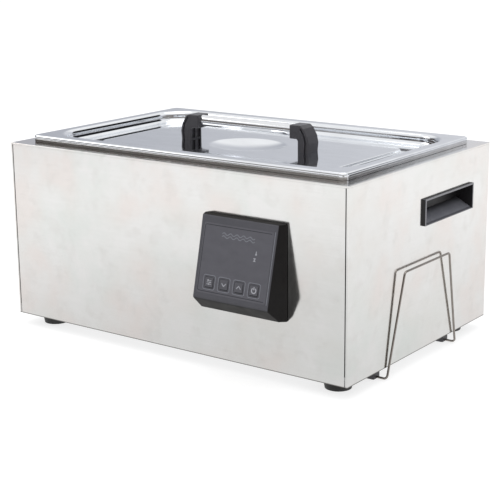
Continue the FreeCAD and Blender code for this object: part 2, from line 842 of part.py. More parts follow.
def drain_tap():
    """The ball valve on the rear panel: body with spigot, ball, and the lever whose stem turns the ball."""
    x, level = S.drain_x, S.drain_level
    profile = [
        (BALL_BORE, -24),
        (S.pipe_radius, -24),
        (S.pipe_radius, 0),
        (14, 0),
        (14, 3),
        (13, 4),
        (13, 21),
        (11, 23),
        (S.spigot_radius, 23),
        (S.spigot_radius, S.rear_reach),
        (BALL_BORE, S.rear_reach),
    ]
    pipe = turned("valve_pipe", profile, x, HALF_Y, level, "Y")
    boss = rod("valve_boss", (x, BALL_Y, level + 5), 7, 9)
    socket = ball("valve_socket", x, BALL_Y, level, BALL_RADIUS + S.running_fit)
    stem_hole = rod("valve_stem_hole", (x, BALL_Y, level), STEM_RADIUS + S.running_fit, 20)
    body = cut("valve_casting", fuse("valve_blank", pipe, boss), socket, stem_hole)
    sub_part(body, "drain_valve_body")

    bore = rod("ball_bore", (x - 12, BALL_Y, level), BALL_BORE, 24, "X")
    sub_part(cut("ball_bored", ball("ball_solid", x, BALL_Y, level, BALL_RADIUS, "X"), bore), "drain_ball")

    right = [(-7, -6), (8, -6), (14, -4.5), (46, -5.5), (52, -3.5)]
    left = [(a, -b) for a, b in right[::-1]]
    arm = slab("lever_arm", "XY_Plane", right + left, 3)
    body_fillet(arm, "lever_soft", 0.9, flat_at(3))
    put(arm, x, BALL_Y, LEVER_LEVEL)
    hub = rod("lever_hub", (x, BALL_Y, LEVER_LEVEL), 7, 4.5)
    stem = rod("lever_stem", (x, BALL_Y, level + 7.9), STEM_RADIUS, LEVER_LEVEL - level - 7.9)
    tip = ball("lever_stem_seat", x, BALL_Y, level, BALL_RADIUS)
    sub_part(cut("lever_solid", fuse("lever_blank", arm, hub, stem), tip), "drain_lever")


# ---------------------------------------------------------------- power


PIVOT_Y = HALF_Y - 4
ROCKER_TILT = 8


def power_entry():
    """The mains inlet with its three pins, the fuse holder and the rocker switch, all on the rear panel."""
    x, z = S.inlet_x, S.rear_row
    flange = block_at("inlet_flange", x, HALF_Y, z, 25, 2, 14)
    tub = block_at("inlet_tub", x, HALF_Y - 20, z, INLET_HALF_X, 20, INLET_HALF_Z)
    mouth = block_at("inlet_mouth", x, HALF_Y - 15, z, 12, 20, 8.1)
    ears = [rod(f"inlet_ear_{n}", (x + 20 * s, HALF_Y - 1, z), 1.6, 5, "Y") for n, s in enumerate((-1, 1))]
    shell = fuse("inlet_shell", flange, tub)
    sub_part(cut("inlet_body", shell, mouth, group("inlet_ears", *ears)), "power_inlet")
    pins = []
    for n, (px, pz) in enumerate([(-7, -2), (0, 2), (7, -2)]):
        pins.append(block_at(f"inlet_pin_{n}", x + px, HALF_Y - 15, z + pz, 1, 12, 2))
    sub_part(group("inlet_pin_set", *pins), "inlet_pins")

    cap = [(0, -22), (6.2, -22), (6.2, 0), (8, 0), (8, 2.5), (5.8, 2.5), (5.8, 6), (5.2, 6.6), (0, 6.6)]
    holder = turned("fuse_cap", cap, S.fuse_x, HALF_Y, z, "Y")
    slot = box("fuse_slot", (S.fuse_x - 4, HALF_Y + 5, z - 0.6), (S.fuse_x + 4, HALF_Y + 8, z + 0.6))
    sub_part(cut("fuse_body", holder, slot), "fuse_holder")

    x = S.switch_x
    flange = block_at("switch_flange", x, HALF_Y, z, 14, 2, 17.5)
    tub = block_at("switch_tub", x, HALF_Y - 16, z, SWITCH_HALF_X, 16, SWITCH_HALF_Z)
    well = block_at("switch_well", x, HALF_Y - 11, z, 9, 16, 13.4)
    pivots = rod("switch_pivot_hole", (x - 10.6, PIVOT_Y, z), 1.5 + S.running_fit, 21.2, "X")
    sub_part(cut("switch_case", fuse("switch_shell", flange, tub), well, pivots), "switch_bezel")

    rocker = slab(
        "rocker_paddle",
        "YZ_Plane",
        [(-2.6, -3), (-1, -12), (7, -12), (4.6, 0), (7, 12), (-1, 12), (-2.6, 3)],
        17.2,
        symmetric=True,
    )
    pin = rod("rocker_pin", (-10.3, 0, 0), 1.5, 20.6, "X")
    tilted = fuse("rocker_tilted", rocker, pin)
    put(tilted, x, PIVOT_Y, z, FreeCAD.Rotation(FreeCAD.Vector(1, 0, 0), -ROCKER_TILT))
    sub_part(tilted, "switch_rocker")




def power_board():
    """The power board on the base's pillars, with its transformer, relays, capacitors and heat sink."""
    top = BOARD_LEVEL + BOARD_THICKNESS
    x, y = BOARD_CENTRE
    half_x, half_y = BOARD_HALF
    sub_part(rounded("board_sheet", half_x, half_y, BOARD_LEVEL, top, 3, x, y), "power_board")
    core = box("transformer_core", (-104, -126, top), (-64, -94, top + 26))
    coil = block("transformer_coil", 15, 13, top + 26, top + 32, -84, -110)
    parts = [fuse("transformer", core, coil)]
    parts += [rod(f"capacitor_{n}", (-52 + 15 * n, -118, top), 6, 22) for n in range(2)]
    parts += [box(f"relay_{n}", (-18, -134 + 24 * n, top), (2, -116 + 24 * n, top + 16)) for n in range(2)]
    foot = box("sink_foot", (-100, -76, top), (-40, -60, top + 4))
    fins = []
    for n in range(7):
        x = -100 + 9 * n
        fins.append(box(f"sink_fin_{n}", (x, -76, top + 4), (x + 3, -60, top + 24)))
    parts.append(fuse("heat_sink", foot, *fins))
    parts.append(box("terminal_block", (-26, -82, top), (10, -70, top + 11)))
    sub_part(group("board_parts", *parts), "board_components")


def internal_wiring():
    """The leads from the control unit, the mains entry and the heating mat to the board's terminal block."""
    level = 19
    rear = -HALF_Y + 17
    control = [(S.unit_x, -HALF_Y - 5, 112), (S.unit_x, rear, 112), (S.unit_x, rear, level)]
    control += [(6, -158, level), (6, -82, level)]
    mains = [(S.inlet_x, HALF_Y - 20, S.rear_row), (S.inlet_x, 140, S.rear_row), (90, 115, 30)]
    mains += [(-8, 0, level), (-8, -70, level)]
    heater = [(80, -60, MAT_TOP - 3), (80, -60, 70), (40, -40, 30), (4, -40, level), (4, -70, level)]
    leads = [
        bent_tube("control_lead", control, 5, 2.5),
        bent_tube("mains_lead", mains, 12, 3),
        bent_tube("heater_lead", heater, 5, 2),
    ]
    sub_part(group("lead_set", *leads), "internal_wiring")


# ---------------------------------------------------------------- control unit

UNIT_ROTATION = FreeCAD.Rotation(FreeCAD.Vector(1, 0, 0), 90 - SIZES["unit_tilt"])
UNIT_BACK = HALF_Y + 1


def tangent(angle):
    """The tangent of an angle in degrees."""
    return Dim(math.tan(math.radians(angle.value)), f"tan({angle.formula} * 1 deg)")


def face_reach(level):
    """How far the tilted face stands in front of the casing at a height."""
    return S.unit_top_reach + (S.unit_top - level) * tangent(S.unit_tilt)


FACE_Y = -HALF_Y - face_reach(S.overlay_centre)


def on_face(feature):
    """Places a shape that is modelled in the tilted face's own frame: X right, Y up the face, Z out of it."""
    return put(feature, S.unit_x, FACE_Y, S.overlay_centre, UNIT_ROTATION)


def unit_form(name, inset, back, bottom, front_bottom, top, depth):
    """The control unit's wedge: a loft from an upright rectangle at the back to a tilted one at the front."""
    half = S.unit_base_width / 2 - inset
    rear = [(sx * half, -back, z) for sx, z in ((-1, bottom), (1, bottom), (1, top), (-1, top))]
    half = S.unit_face_width / 2 - inset
    levels = ((-1, front_bottom), (1, front_bottom), (1, top), (-1, top))
    front = [(sx * half, depth - HALF_Y - face_reach(z), z) for sx, z in levels]
    wires = []
    for loop in (rear, front):
        points = [FreeCAD.Vector((S.unit_x + x).value, dim(y).value, dim(z).value) for x, y, z in loop]
        wires.append(Part.makePolygon(points + points[:1]))
    form = doc.addObject("Part::Feature", name)
    form.Shape = Part.makeLoft(wires, True, True)
    return form


def lies_back(edge):
    """True for an edge in the housing's open back."""
    return edge.BoundBox.YMin > -UNIT_BACK.value - 0.01


OVERLAY_THICKNESS = 1
KEY_X = [(n - 1.5) * S.key_pitch for n in range(4)]
KEY_NODES = ["mode_key", "down_key", "up_key", "power_key"]
KEY_PROUD = 0.3
BOARD_FRONT = -11
STEM_END = -6.6
CHAMFER_LEVEL = 92
CHAMFER_BACK = 15
BOSS_DEPTH = 9


def control_housing():
    """The wedge-shaped housing, hollow and open at the back, with the recess and openings in its face."""
    outer = unit_form("unit_outer", 0, UNIT_BACK, S.unit_bottom, S.unit_bottom, S.unit_top, 0)
    edge_y = -HALF_Y - face_reach(CHAMFER_LEVEL)
    wedge = slab(
        "unit_chamfer",
        "YZ_Plane",
        [
            (edge_y, CHAMFER_LEVEL),
            (-HALF_Y - CHAMFER_BACK, S.unit_bottom + 3),
            (-UNIT_BACK, S.unit_bottom),
            (-UNIT_BACK, S.unit_bottom - 10),
            (edge_y - 20, S.unit_bottom - 10),
            (edge_y - 20, CHAMFER_LEVEL),
        ],
        S.unit_base_width + 10,
        symmetric=True,
    )
    put(wedge, S.unit_x, 0, 0)
    blank = cut("unit_chamfered", outer, wedge)
    open_back = 0.01 - UNIT_BACK.value
    left = (S.unit_x - S.unit_face_width / 2).value

    def lower_front(edge):
        return edge.BoundBox.YMax < edge_y.value + 0.5 and edge.BoundBox.XLength > 50

    def face_left(edge):
        bounds = edge.BoundBox
        return bounds.XMax < left + 0.1 and bounds.ZLength > 50 and bounds.YMax < -HALF_Y.value - 10

    def outside(edge):
        bounds = edge.BoundBox
        return bounds.YMin < open_back - 5 and bounds.YMax < open_back + 1 and not lies_back(edge)

    soft = fillet("unit_soft", blank, (lower_front, 6), (face_left, 4.5), (outside, 2.2))

    wall = S.unit_wall
    cavity = unit_form(
        "unit_cavity",
        wall,
        UNIT_BACK - 1,
        S.unit_bottom + 9,
        CHAMFER_LEVEL + 5,
        S.unit_top - wall,
        wall * 1.03,
    )
    bosses, holes = [], []
    for n, (sx, z) in enumerate(UNIT_SCREWS):
        x = S.unit_x + sx * SCREW_X
        bosses.append(rod(f"unit_boss_{n}", (x, 1 - UNIT_BACK - BOSS_DEPTH, z), 4, BOSS_DEPTH - 1, "Y"))
        holes.append(rod(f"unit_screw_bore_{n}", (x, -UNIT_BACK - 7, z), 1.5, 8, "Y"))
    recess = block("face_recess", S.overlay_width / 2, S.overlay_height / 2, -OVERLAY_THICKNESS, 3)
    window = box("face_window", (-30, -2, -8), (30, 24, 0))
    stems = [block(f"face_stem_hole_{n}", 5.5, 5.5, -8, 0, x, S.key_row) for n, x in enumerate(KEY_X)]
    face_cut = on_face(group("face_openings", recess, window, *stems))
    hollow = cut("unit_hollow", soft, cavity)
    corners = [(sx * 45, sy * 31) for sx in (-1, 1) for sy in (-1, 1)]
    length = -BOARD_FRONT - 1.5
    posts = [rod(f"face_post_{n}", (x, y, BOARD_FRONT), 3, length) for n, (x, y) in enumerate(corners)]
    with_bosses = fuse("unit_with_bosses", hollow, *bosses, on_face(group("face_posts", *posts)))
    shell = cut("unit_shell", with_bosses, group("unit_screw_bores", *holes), face_cut)
    sub_part(shell, "control_housing")


def control_overlay():
    """The thin face overlay with a square window for each key."""
    plate = rounded("overlay_plate", S.overlay_width / 2, S.overlay_height / 2, -OVERLAY_THICKNESS, 0, 1.5)
    half = S.key_side / 2 + S.key_gap
    windows = [
        rounded(f"overlay_window_{n}", half, half, -3, 3, 2.5 + SIZES["key_gap"], x, S.key_row)
        for n, x in enumerate(KEY_X)
    ]
    sub_part(on_face(cut("overlay_sheet", plate, group("overlay_windows", *windows))), "control_overlay")


def keys():
    """The four keys: a rounded square cap whose stem reaches through the housing to its switch."""
    for node, x in zip(KEY_NODES, KEY_X):
        half = S.key_side / 2
        cap = rounded(f"{node}_cap", half, half, -0.4, KEY_PROUD, 2.5, x, S.key_row)
        soft = fillet(f"{node}_soft", cap, (flat_at(KEY_PROUD), 0.25))
        stem = block(f"{node}_stem", 5, 5, STEM_END, -0.2, x, S.key_row)
        sub_part(on_face(fuse(f"{node}_form", soft, stem)), node)


def control_electronics():
    """The control board behind the face, with its display module and the four key switches."""
    board = rounded("unit_board", 50, 36, BOARD_FRONT - 1.6, BOARD_FRONT, 2)
    sub_part(on_face(group("unit_board_sheet", board)), "control_board")
    display = rounded("display_block", 28, 12, BOARD_FRONT, -3.2, 1, 0, 11)
    sub_part(on_face(group("display_case", display)), "display_module")
    switches = []
    for n, x in enumerate(KEY_X):
        base = block(f"switch_base_{n}", 3, 3, BOARD_FRONT, BOARD_FRONT + 3, x, S.key_row)
        button = rod(f"switch_button_{n}", (x, S.key_row, BOARD_FRONT + 3), 1.7, 0.6)
        switches.append(fuse(f"key_switch_{n}", base, button))
    sub_part(on_face(group("switch_set", *switches)), "key_switches")


def housing_fixings():
    """The foam gasket between housing and casing, and the four screws from inside the casing."""
    half = S.unit_base_width / 2 - 1.5
    x, front = S.unit_x, -UNIT_BACK
    outer = box("gasket_outer", (x - half, front, S.unit_bottom + 1.5), (x + half, -HALF_Y, S.unit_top - 1.5))
    inner_half = half - 16
    inner = box("gasket_inner", (x - inner_half, front - 1, 92), (x + inner_half, -HALF_Y + 1, 176))
    holes, screws = [], []
    for n, (sx, z) in enumerate(UNIT_SCREWS):
        place = x + sx * SCREW_X
        holes.append(rod(f"gasket_hole_{n}", (place, front - 1, z), 2.1, 3, "Y"))
        shank = rod(f"unit_screw_shank_{n}", (place, front - 6, z), 1.5, S.gauge + 7, "Y")
        head = rod(f"unit_screw_head_{n}", (place, -PLATE_INNER_Y, z), 3.4, 2, "Y")
        screws.append(fuse(f"unit_screw_{n}", shank, head))
    sub_part(cut("gasket_sheet", outer, inner, group("gasket_holes", *holes)), "housing_gasket")
    sub_part(group("unit_screw_set", *screws), "housing_screws")


# ---------------------------------------------------------------- side handles


GRIP_WALL = 1.2
GRIP_RISE = 11


def side_handle(node, side):
    """A recessed grip: a frame proud of the panel and a pocket whose lower face slopes up inwards."""
    panel = side * HALF_X
    face = panel + side * S.grip_proud
    bottom = panel - side * S.grip_depth
    y, z = S.grip_centre_y, S.grip_centre_z
    half_y, half_z = S.grip_length / 2, S.grip_height / 2
    low_x, high_x = ordered(panel, face)
    frame = box(f"{node}_frame", (low_x, y - half_y, z - half_z), (high_x, y + half_y, z + half_z))

    def across(edge):
        return edge.BoundBox.XLength > 1

    def on_front(edge):
        return abs(reach_x(edge) - abs(face.value)) < 0.01

    soft = fillet(f"{node}_soft", frame, (across, 1), (on_front, 0.5))
    low_x, high_x = ordered(panel, bottom)
    low_z, high_z = z - GRIP_HOLE_Z, z + GRIP_HOLE_Z
    cup = box(f"{node}_cup", (low_x, y - GRIP_HOLE_Y, low_z), (high_x, y + GRIP_HOLE_Y, high_z))
    low_z, high_z = low_z + GRIP_WALL, high_z - GRIP_WALL
    pocket = slab(
        f"{node}_pocket",
        "XZ_Plane",
        [
            (face + side * 5, z - half_z + 1),
            (face + side * 5, high_z),
            (bottom + side * GRIP_WALL, high_z),
            (bottom + side * GRIP_WALL, low_z + GRIP_RISE),
            (panel, low_z),
            (face, z - half_z + 1),
        ],
        2 * (GRIP_HOLE_Y - GRIP_WALL),
        symmetric=True,
    )
    put(pocket, 0, y, 0)
    sub_part(cut(f"{node}_form", fuse(f"{node}_blank", soft, cup), pocket), node)


# ---------------------------------------------------------------- lid rack


def lid_rack():
    """The bent wire that slides out from under the casing: two level legs, two raised legs and a top bar."""
    leg, top = S.rack_leg_y, S.rack_top_y
    half = [
        (S.rack_inner_x, leg, S.rack_level),
        (S.rack_foot_x, leg, S.rack_level),
        (S.rack_top_x, top, S.rack_top_z),
    ]
    route = [(x, -y, z) for x, y, z in half] + half[::-1]
    wire = bent_tube("rack_wire", route, S.rack_bend, S.wire_radius)
    stops = [
        rod(f"rack_stop_{n}", (S.rack_inner_x + 1, s * leg, S.rack_level), S.wire_radius + 0.4, 3, "X")
        for n, s in enumerate((-1, 1))
    ]
    sub_part(fuse("rack_form", wire, *stops), "lid_rack")


def rack_clips():
    """The two clips under the base that the rack's level legs slide in."""
    clips = []
    bore = S.wire_radius + S.running_fit
    for n, y in enumerate(CLIPS):
        y = dim(y)
        low = S.rack_level - 1.8
        body = box(f"clip_body_{n}", (S.clip_x - 10, y - 8, low), (S.clip_x + 10, y + 8, 0))
        soft = fillet(f"clip_soft_{n}", body, (upright, 2))
        hole = rod(f"clip_bore_{n}", (S.clip_x - 12, y, S.rack_level), bore, 24, "X")
        screw = rod(f"clip_screw_{n}", (S.clip_x, y, -7.8), 2, 10)
        seat = rod(f"clip_seat_{n}", (S.clip_x, y, -10), 3.4, 2.2)
        clips.append(cut(f"clip_{n}", soft, hole, fuse(f"clip_screw_hole_{n}", screw, seat)))
    sub_part(group("clip_set", *clips), "rack_clips")


# ---------------------------------------------------------------- lid


LID_FLOOR = RIM_TOP - 30
LID_GAP = 0.15
LID_SHEET = 1
LID_EDGE_BEND = 3.2
TROUGH_MOUTH_BEND = 6.5
TROUGH_FOOT_BEND = 8
WELL_MOUTH_BEND = 8
POST_SCREW_Y = 7
POST_MIDDLE = (S.post_inner + S.post_outer) / 2
POST_SCREWS = [(sx * POST_MIDDLE, sy * POST_SCREW_Y) for sx in (-1, 1) for sy in (-1, 1)]


def lid_form(name, skin):
    """The solid under one skin of the lid: skin 0 gives its upper face, the sheet's thickness its lower."""
    outer = rounded(
        f"{name}_slab",
        S.rim_length / 2 - skin,
        S.rim_width / 2 - skin,
        LID_FLOOR,
        LID_TOP - skin,
        S.rim_corner - skin,
    )
    trough = rounded(
        f"{name}_trough",
        S.trough_length / 2 + skin,
        S.trough_width / 2 + skin,
        TROUGH - skin,
        LID_TOP + 5,
        S.trough_corner + skin,
    )
    plateau = rounded(
        f"{name}_plateau",
        S.plateau_length / 2 - skin,
        S.plateau_width / 2 - skin,
        LID_FLOOR,
        PLATEAU - skin,
        S.plateau_corner - skin,
    )
    well = dish(f"{name}_well", S.well_length / 2, S.well_width / 2, S.well_depth, PLATEAU, skin)
    rough = cut(f"{name}_rough", fuse(f"{name}_raised", cut(f"{name}_tray", outer, trough), plateau), well)

    def trough_mouth(edge):
        return flat_at(LID_TOP - skin)(edge) and reach_x(edge) < S.trough_length.value / 2 + 6

    def trough_foot(edge):
        bounds = edge.BoundBox
        wide = max(abs(bounds.YMax), abs(bounds.YMin)) > S.plateau_width.value / 2 + 5
        return flat_at(TROUGH - skin)(edge) and (wide or reach_x(edge) > S.plateau_length.value / 2 + 5)

    def well_mouth(edge):
        return flat_at(PLATEAU - skin)(edge) and reach_x(edge) < S.well_length.value / 2 + 5

    return fillet(
        f"{name}_soft",
        rough,
        (trough_mouth, TROUGH_MOUTH_BEND - skin),
        (flat_at(LID_TOP - skin), LID_EDGE_BEND - skin),
        (trough_foot, TROUGH_FOOT_BEND + skin),
        (flat_at(TROUGH - skin), 1.5 + skin),
        (well_mouth, WELL_MOUTH_BEND - skin),
        (flat_at(PLATEAU - skin), 1.6 - skin),
    )


def lid():
    """The pressed lid: a level edge with a small lip, a trough, a raised middle and an oval finger well."""
    sheet_form = cut("lid_sheet", lid_form("lid_upper", 0), lid_form("lid_lower", LID_SHEET))
    lip_outside = block("lid_lip_outside", 300, 200, LID_FLOOR - 1, RIM_TOP + LID_GAP)
    lip_inside = block("lid_lip_inside", 255, 152, LID_FLOOR - 2, RIM_TOP + 2)
    holes = [rod(f"lid_hole_{n}", (x, y, TROUGH - 5), 2.5, 20) for n, (x, y) in enumerate(POST_SCREWS)]
    trim = cut("lid_lip_trim", lip_outside, lip_inside)
    trimmed = cut("lid_trimmed", sheet_form, trim, group("lid_holes", *holes))
    sub_part(trimmed, "lid")


GROOVE_INSET = 3.4
GROOVE_WIDTH = 3
GROOVE_DEPTH = 2
SLOT_DEPTH = 2.5


def handle_post(node, side):
    """A lid handle post: upright inside, leaning in outside, with a hook at its top that holds the bar."""
    top = PLATEAU + S.post_height
    collar_foot = S.bar_height - S.bar_radius - 1.8
    flank = [
        (S.post_outer - 0.6, PLATEAU),
        (S.post_outer + 0.6, PLATEAU + 12),
        (S.post_outer - 1.6, PLATEAU + 22),
        (S.post_outer - 7.8, top - 4),
    ]
    points = [
        (S.post_inner, PLATEAU),
        *flank,
        (S.post_outer - 13, top),
        (S.collar_inner + 1, top),
        (S.collar_inner, top - 1),
        (S.collar_inner, collar_foot),
        (S.post_inner - 2, collar_foot),
        (S.post_inner, collar_foot - 2.5),
    ]

    def across(edge):
        return edge.BoundBox.YLength > 20 and edge.BoundBox.ZMin > PLATEAU.value + 1

    def on_side(edge):
        return edge.BoundBox.YLength < 0.01 and edge.BoundBox.ZMax > PLATEAU.value + 0.5

    points = [(side * x, z) for x, z in points]
    post = slab(f"{node}_body", "XZ_Plane", points, 2 * S.post_half_width, symmetric=True)
    shell = fillet(f"{node}_soft", fillet(f"{node}_edges", post, (across, 1)), (on_side, 1.5))
    start = S.post_inner - 20 if side > 0 else -S.post_inner - 4
    socket = rod(f"{node}_socket", (start, 0, S.bar_height), S.bar_radius, 24, "X")
    screw_holes = [
        rod(f"{node}_screw_hole_{n}", (side * POST_MIDDLE, y, PLATEAU - 1), 2.5, 15)
        for n, y in enumerate((-POST_SCREW_Y, POST_SCREW_Y))
    ]
    outer_side = [(side * (x - GROOVE_INSET), z) for x, z in flank]
    inner_side = [(side * (x - GROOVE_INSET - GROOVE_WIDTH), z) for x, z in flank[::-1]]
    low_x, high_x = ordered(side * (S.post_inner - 1), side * (S.post_inner + SLOT_DEPTH))
    low_z, high_z = PLATEAU + 1.5, collar_foot - 1.5
    groove_ends = (GROOVE_DEPTH - S.post_half_width, S.post_half_width + 1)
    grooves, slots = [], []
    for n, (groove_end, low_y, high_y) in enumerate(zip(groove_ends, (-9.5, 2.2), (-2.2, 9.5))):
        groove = slab(f"{node}_groove_{n}", "XZ_Plane", outer_side + inner_side, GROOVE_DEPTH + 1)
        grooves.append(put(groove, 0, groove_end, 0))
        slots.append(box(f"{node}_slot_{n}", (low_x, low_y, low_z), (high_x, high_y, high_z)))
    sub_part(cut(f"{node}_form", shell, socket, *screw_holes, *grooves, *slots), node)


def lid_handle():
    """The tube between the two posts, and the screws up through the lid."""
    end = S.post_inner + 4
    tube = rod("bar_outer", (-end, 0, S.bar_height), S.bar_radius, 2 * end, "X")
    hollow = rod("bar_inner", (-end - 1, 0, S.bar_height), S.bar_radius - S.bar_wall, 2 * end + 2, "X")
    sub_part(cut("bar_tube", tube, hollow), "lid_handle_bar")
    screws = []
    for n, (x, y) in enumerate(POST_SCREWS):
        head = rod(f"post_screw_head_{n}", (x, y, PLATEAU - LID_SHEET - 2), 4, 2)
        shank = rod(f"post_screw_shank_{n}", (x, y, PLATEAU - LID_SHEET), 2.5, 12)
        screws.append(fuse(f"post_screw_{n}", head, shank))
    sub_part(group("post_screw_set", *screws), "lid_handle_screws")


# ---------------------------------------------------------------- assembly

front_panel()
rear_panel()
panel_screws()
side_panel("left_side_panel", -1)
side_panel("right_side_panel", 1)
top_deck()
base_plate()
rubber_feet()
base_screws()
water_tank()
tank_rim_seal()
tank_insulation()
for fitting, (port_x, port_y) in zip(("suction_fitting", "return_fitting", "drain_fitting"), PORTS):
    floor_fitting(fitting, port_x, port_y)
suction_strainer()
heating()
pump()
hoses()
drain_tap()
power_entry()
power_board()
internal_wiring()
control_housing()
control_overlay()
keys()
control_electronics()
housing_fixings()
side_handle("left_side_handle", -1)
side_handle("right_side_handle", 1)
lid_rack()
rack_clips()
lid()
handle_post("left_handle_post", -1)
handle_post("right_handle_post", 1)
lid_handle()
doc.recompute()

for feature in doc.Objects:
    if "Invalid" in feature.State or "Error" in feature.State:
        raise RuntimeError(f"{feature.Name} has failed: {feature.State}")
os.makedirs("parts", exist_ok=True)
for feature in SUB_PARTS:
    if feature.Shape.isNull() or not feature.Shape.isValid():
        raise RuntimeError(f"{feature.Label} has no valid shape")
    feature.Shape.exportStep(f"parts/{feature.Label}.step")
print(len(SUB_PARTS), "sub-parts written")
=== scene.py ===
import json
import math

import bmesh
import bpy
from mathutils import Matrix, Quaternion, Vector


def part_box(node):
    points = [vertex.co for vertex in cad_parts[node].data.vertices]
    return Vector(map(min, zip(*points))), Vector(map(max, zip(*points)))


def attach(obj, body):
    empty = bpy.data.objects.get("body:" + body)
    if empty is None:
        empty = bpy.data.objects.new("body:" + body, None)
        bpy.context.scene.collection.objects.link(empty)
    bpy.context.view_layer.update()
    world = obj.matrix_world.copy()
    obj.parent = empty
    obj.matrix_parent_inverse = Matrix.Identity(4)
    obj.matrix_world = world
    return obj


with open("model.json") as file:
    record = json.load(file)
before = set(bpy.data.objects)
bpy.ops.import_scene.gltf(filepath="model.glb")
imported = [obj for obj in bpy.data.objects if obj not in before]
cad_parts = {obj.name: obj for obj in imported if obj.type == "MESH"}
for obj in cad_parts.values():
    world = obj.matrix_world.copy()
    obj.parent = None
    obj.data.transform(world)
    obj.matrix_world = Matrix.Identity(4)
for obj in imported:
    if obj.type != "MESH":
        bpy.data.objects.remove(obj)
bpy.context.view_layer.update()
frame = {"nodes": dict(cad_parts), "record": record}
scene = bpy.context.scene
MM = 0.001

# The casing: the top of the painted shade line along its bottom edge, and the middle of its length.
BOTTOM_SHADE_TOP = 18.2 * MM
CASING_MIDDLE = -2.25 * MM

# The grips, measured from the casing's middle: where the painted shade deep in the pocket ends and the
# slope's grey starts, where the grey is full, and the outer face.
POCKET_SHADE_END = 264 * MM
SLOPE_GREY_FULL = 274 * MM
GRIP_FACE = 288.4 * MM

# The control face: its tilt and directions, the painted light and shade of its case, and its label, in
# millimetres.
FACE_TILT = math.radians(13.7)
FACE_NORMAL = Vector((0, -math.cos(FACE_TILT), math.sin(FACE_TILT)))
FACE_UP = Vector((0, math.sin(FACE_TILT), math.cos(FACE_TILT)))
FACE_RIGHT = Vector((1, 0, 0))
LIT_FACE_GREY = (0.105, 0.105, 0.120)
SHADED_CHEEK_BLACK = (0.006, 0.005, 0.005)
LABEL_HEIGHT = 90
BORDER_HALF_X = 52.4
BORDER_HALF_Y = 42.6
BORDER_CORNER = 2.5
EDGE_HIGHLIGHT_U = 56.4
KEYS = {"mode_key": -35.25, "down_key": -11.75, "up_key": 11.75, "power_key": 35.25}
KEY_ROW = -30.5
INK_HEIGHT = 0.06

# The camera, in metres, degrees and millimetres of lens.
CAMERA_PLACE = (1.09125, -1.48223, 0.58557)
CAMERA_AZIMUTH, CAMERA_ELEVATION, CAMERA_ROLL = 36.375, 14.399, -0.596
CAMERA_LENS = 94.56
SENSOR_WIDTH = 36

# The dark patches of the room that the lid reflects: their directions, and their size in degrees.
PATCHES = ((0.636, 0.732, 0.242), (0.545, 0.724, 0.423))
PATCH_CORE = 8.5
PATCH_EDGE = 14


# ---------------------------------------------------------------- node building


def add(tree, kind, inputs=None, **settings):
    """A new node: settings are its properties; inputs are its sockets' values or what feeds them."""
    node = tree.nodes.new(kind)
    for key, value in settings.items():
        setattr(node, key, value)
    for key, value in (inputs or {}).items():
        if isinstance(value, bpy.types.NodeSocket):
            tree.links.new(value, node.inputs[key])
        else:
            node.inputs[key].default_value = value
    return node


def grey(value):
    return (value, value, value)


def rgba(colour):
    return (*colour, 1)


def shaded(colour, factor, lift=0.0):
    return tuple(c * factor + lift for c in colour)


def vector_math(tree, operation, a, b):
    return add(tree, "ShaderNodeVectorMath", {0: a, 1: b}, operation=operation).outputs[0]


def arithmetic(tree, operation, a, b):
    return add(tree, "ShaderNodeMath", {0: a, 1: b}, operation=operation).outputs[0]


def dot_product(tree, a, b):
    return add(tree, "ShaderNodeVectorMath", {0: a, 1: b}, operation="DOT_PRODUCT").outputs["Value"]


def remap(tree, value, low, high, to_low=0.0, to_high=1.0, smooth=False):
    """The value's place from low to high, carried over to the place from to_low to to_high."""
    inputs = {"Value": value, "From Min": low, "From Max": high, "To Min": to_low, "To Max": to_high}
    kind = "SMOOTHSTEP" if smooth else "LINEAR"
    return add(tree, "ShaderNodeMapRange", inputs, interpolation_type=kind).outputs[0]


def blend(tree, factor, a, b):
    """Colour a where factor is 0 and b where it is 1."""
    node = add(tree, "ShaderNodeMix", data_type="RGBA")
    for index, value in ((0, factor), (6, a), (7, b)):
        if isinstance(value, bpy.types.NodeSocket):
            tree.links.new(value, node.inputs[index])
        else:
            node.inputs[index].default_value = rgba(value) if index else value
    return node.outputs[2]


class Surface:
    """A material with one Principled shader, and the patterns that feed it. Lengths are in metres."""

    def __init__(self, name, **constants):
        self.material = bpy.data.materials.new(name)
        self.material.use_nodes = True
        self.tree = self.material.node_tree
        self.shader = self.tree.nodes["Principled BSDF"]
        self.place = add(self.tree, "ShaderNodeTexCoord").outputs["Object"]
        for socket, value in constants.items():
            self.shader.inputs[socket.replace("_", " ")].default_value = value

    def set(self, socket, value):
        self.tree.links.new(value, self.shader.inputs[socket])

    def noise(self, size, detail=2.0, stretch=(1, 1, 1), rough=0.5):
        """Noise with features of about that size, drawn out by stretch along each axis."""
        scale = tuple(1 / (size * s) for s in stretch)
        place = vector_math(self.tree, "MULTIPLY", self.place, scale)
        inputs = {"Vector": place, "Scale": 1.0, "Detail": detail, "Roughness": rough}
        return add(self.tree, "ShaderNodeTexNoise", inputs).outputs[0]

    def remap(self, *values, **options):
        return remap(self.tree, *values, **options)

    def blend(self, *values):
        return blend(self.tree, *values)

    def bump(self, height, depth, strength):
        inputs = {"Height": height, "Distance": depth, "Strength": strength}
        return add(self.tree, "ShaderNodeBump", inputs).outputs[0]

    def edge(self, width):
        """1 along the shape's sharp edges and 0 away from them."""
        rounded = add(self.tree, "ShaderNodeBevel", {"Radius": width}, samples=6).outputs[0]
        normal = add(self.tree, "ShaderNodeNewGeometry").outputs["Normal"]
        return self.remap(dot_product(self.tree, rounded, normal), 0.995, 0.85)


# ---------------------------------------------------------------- materials


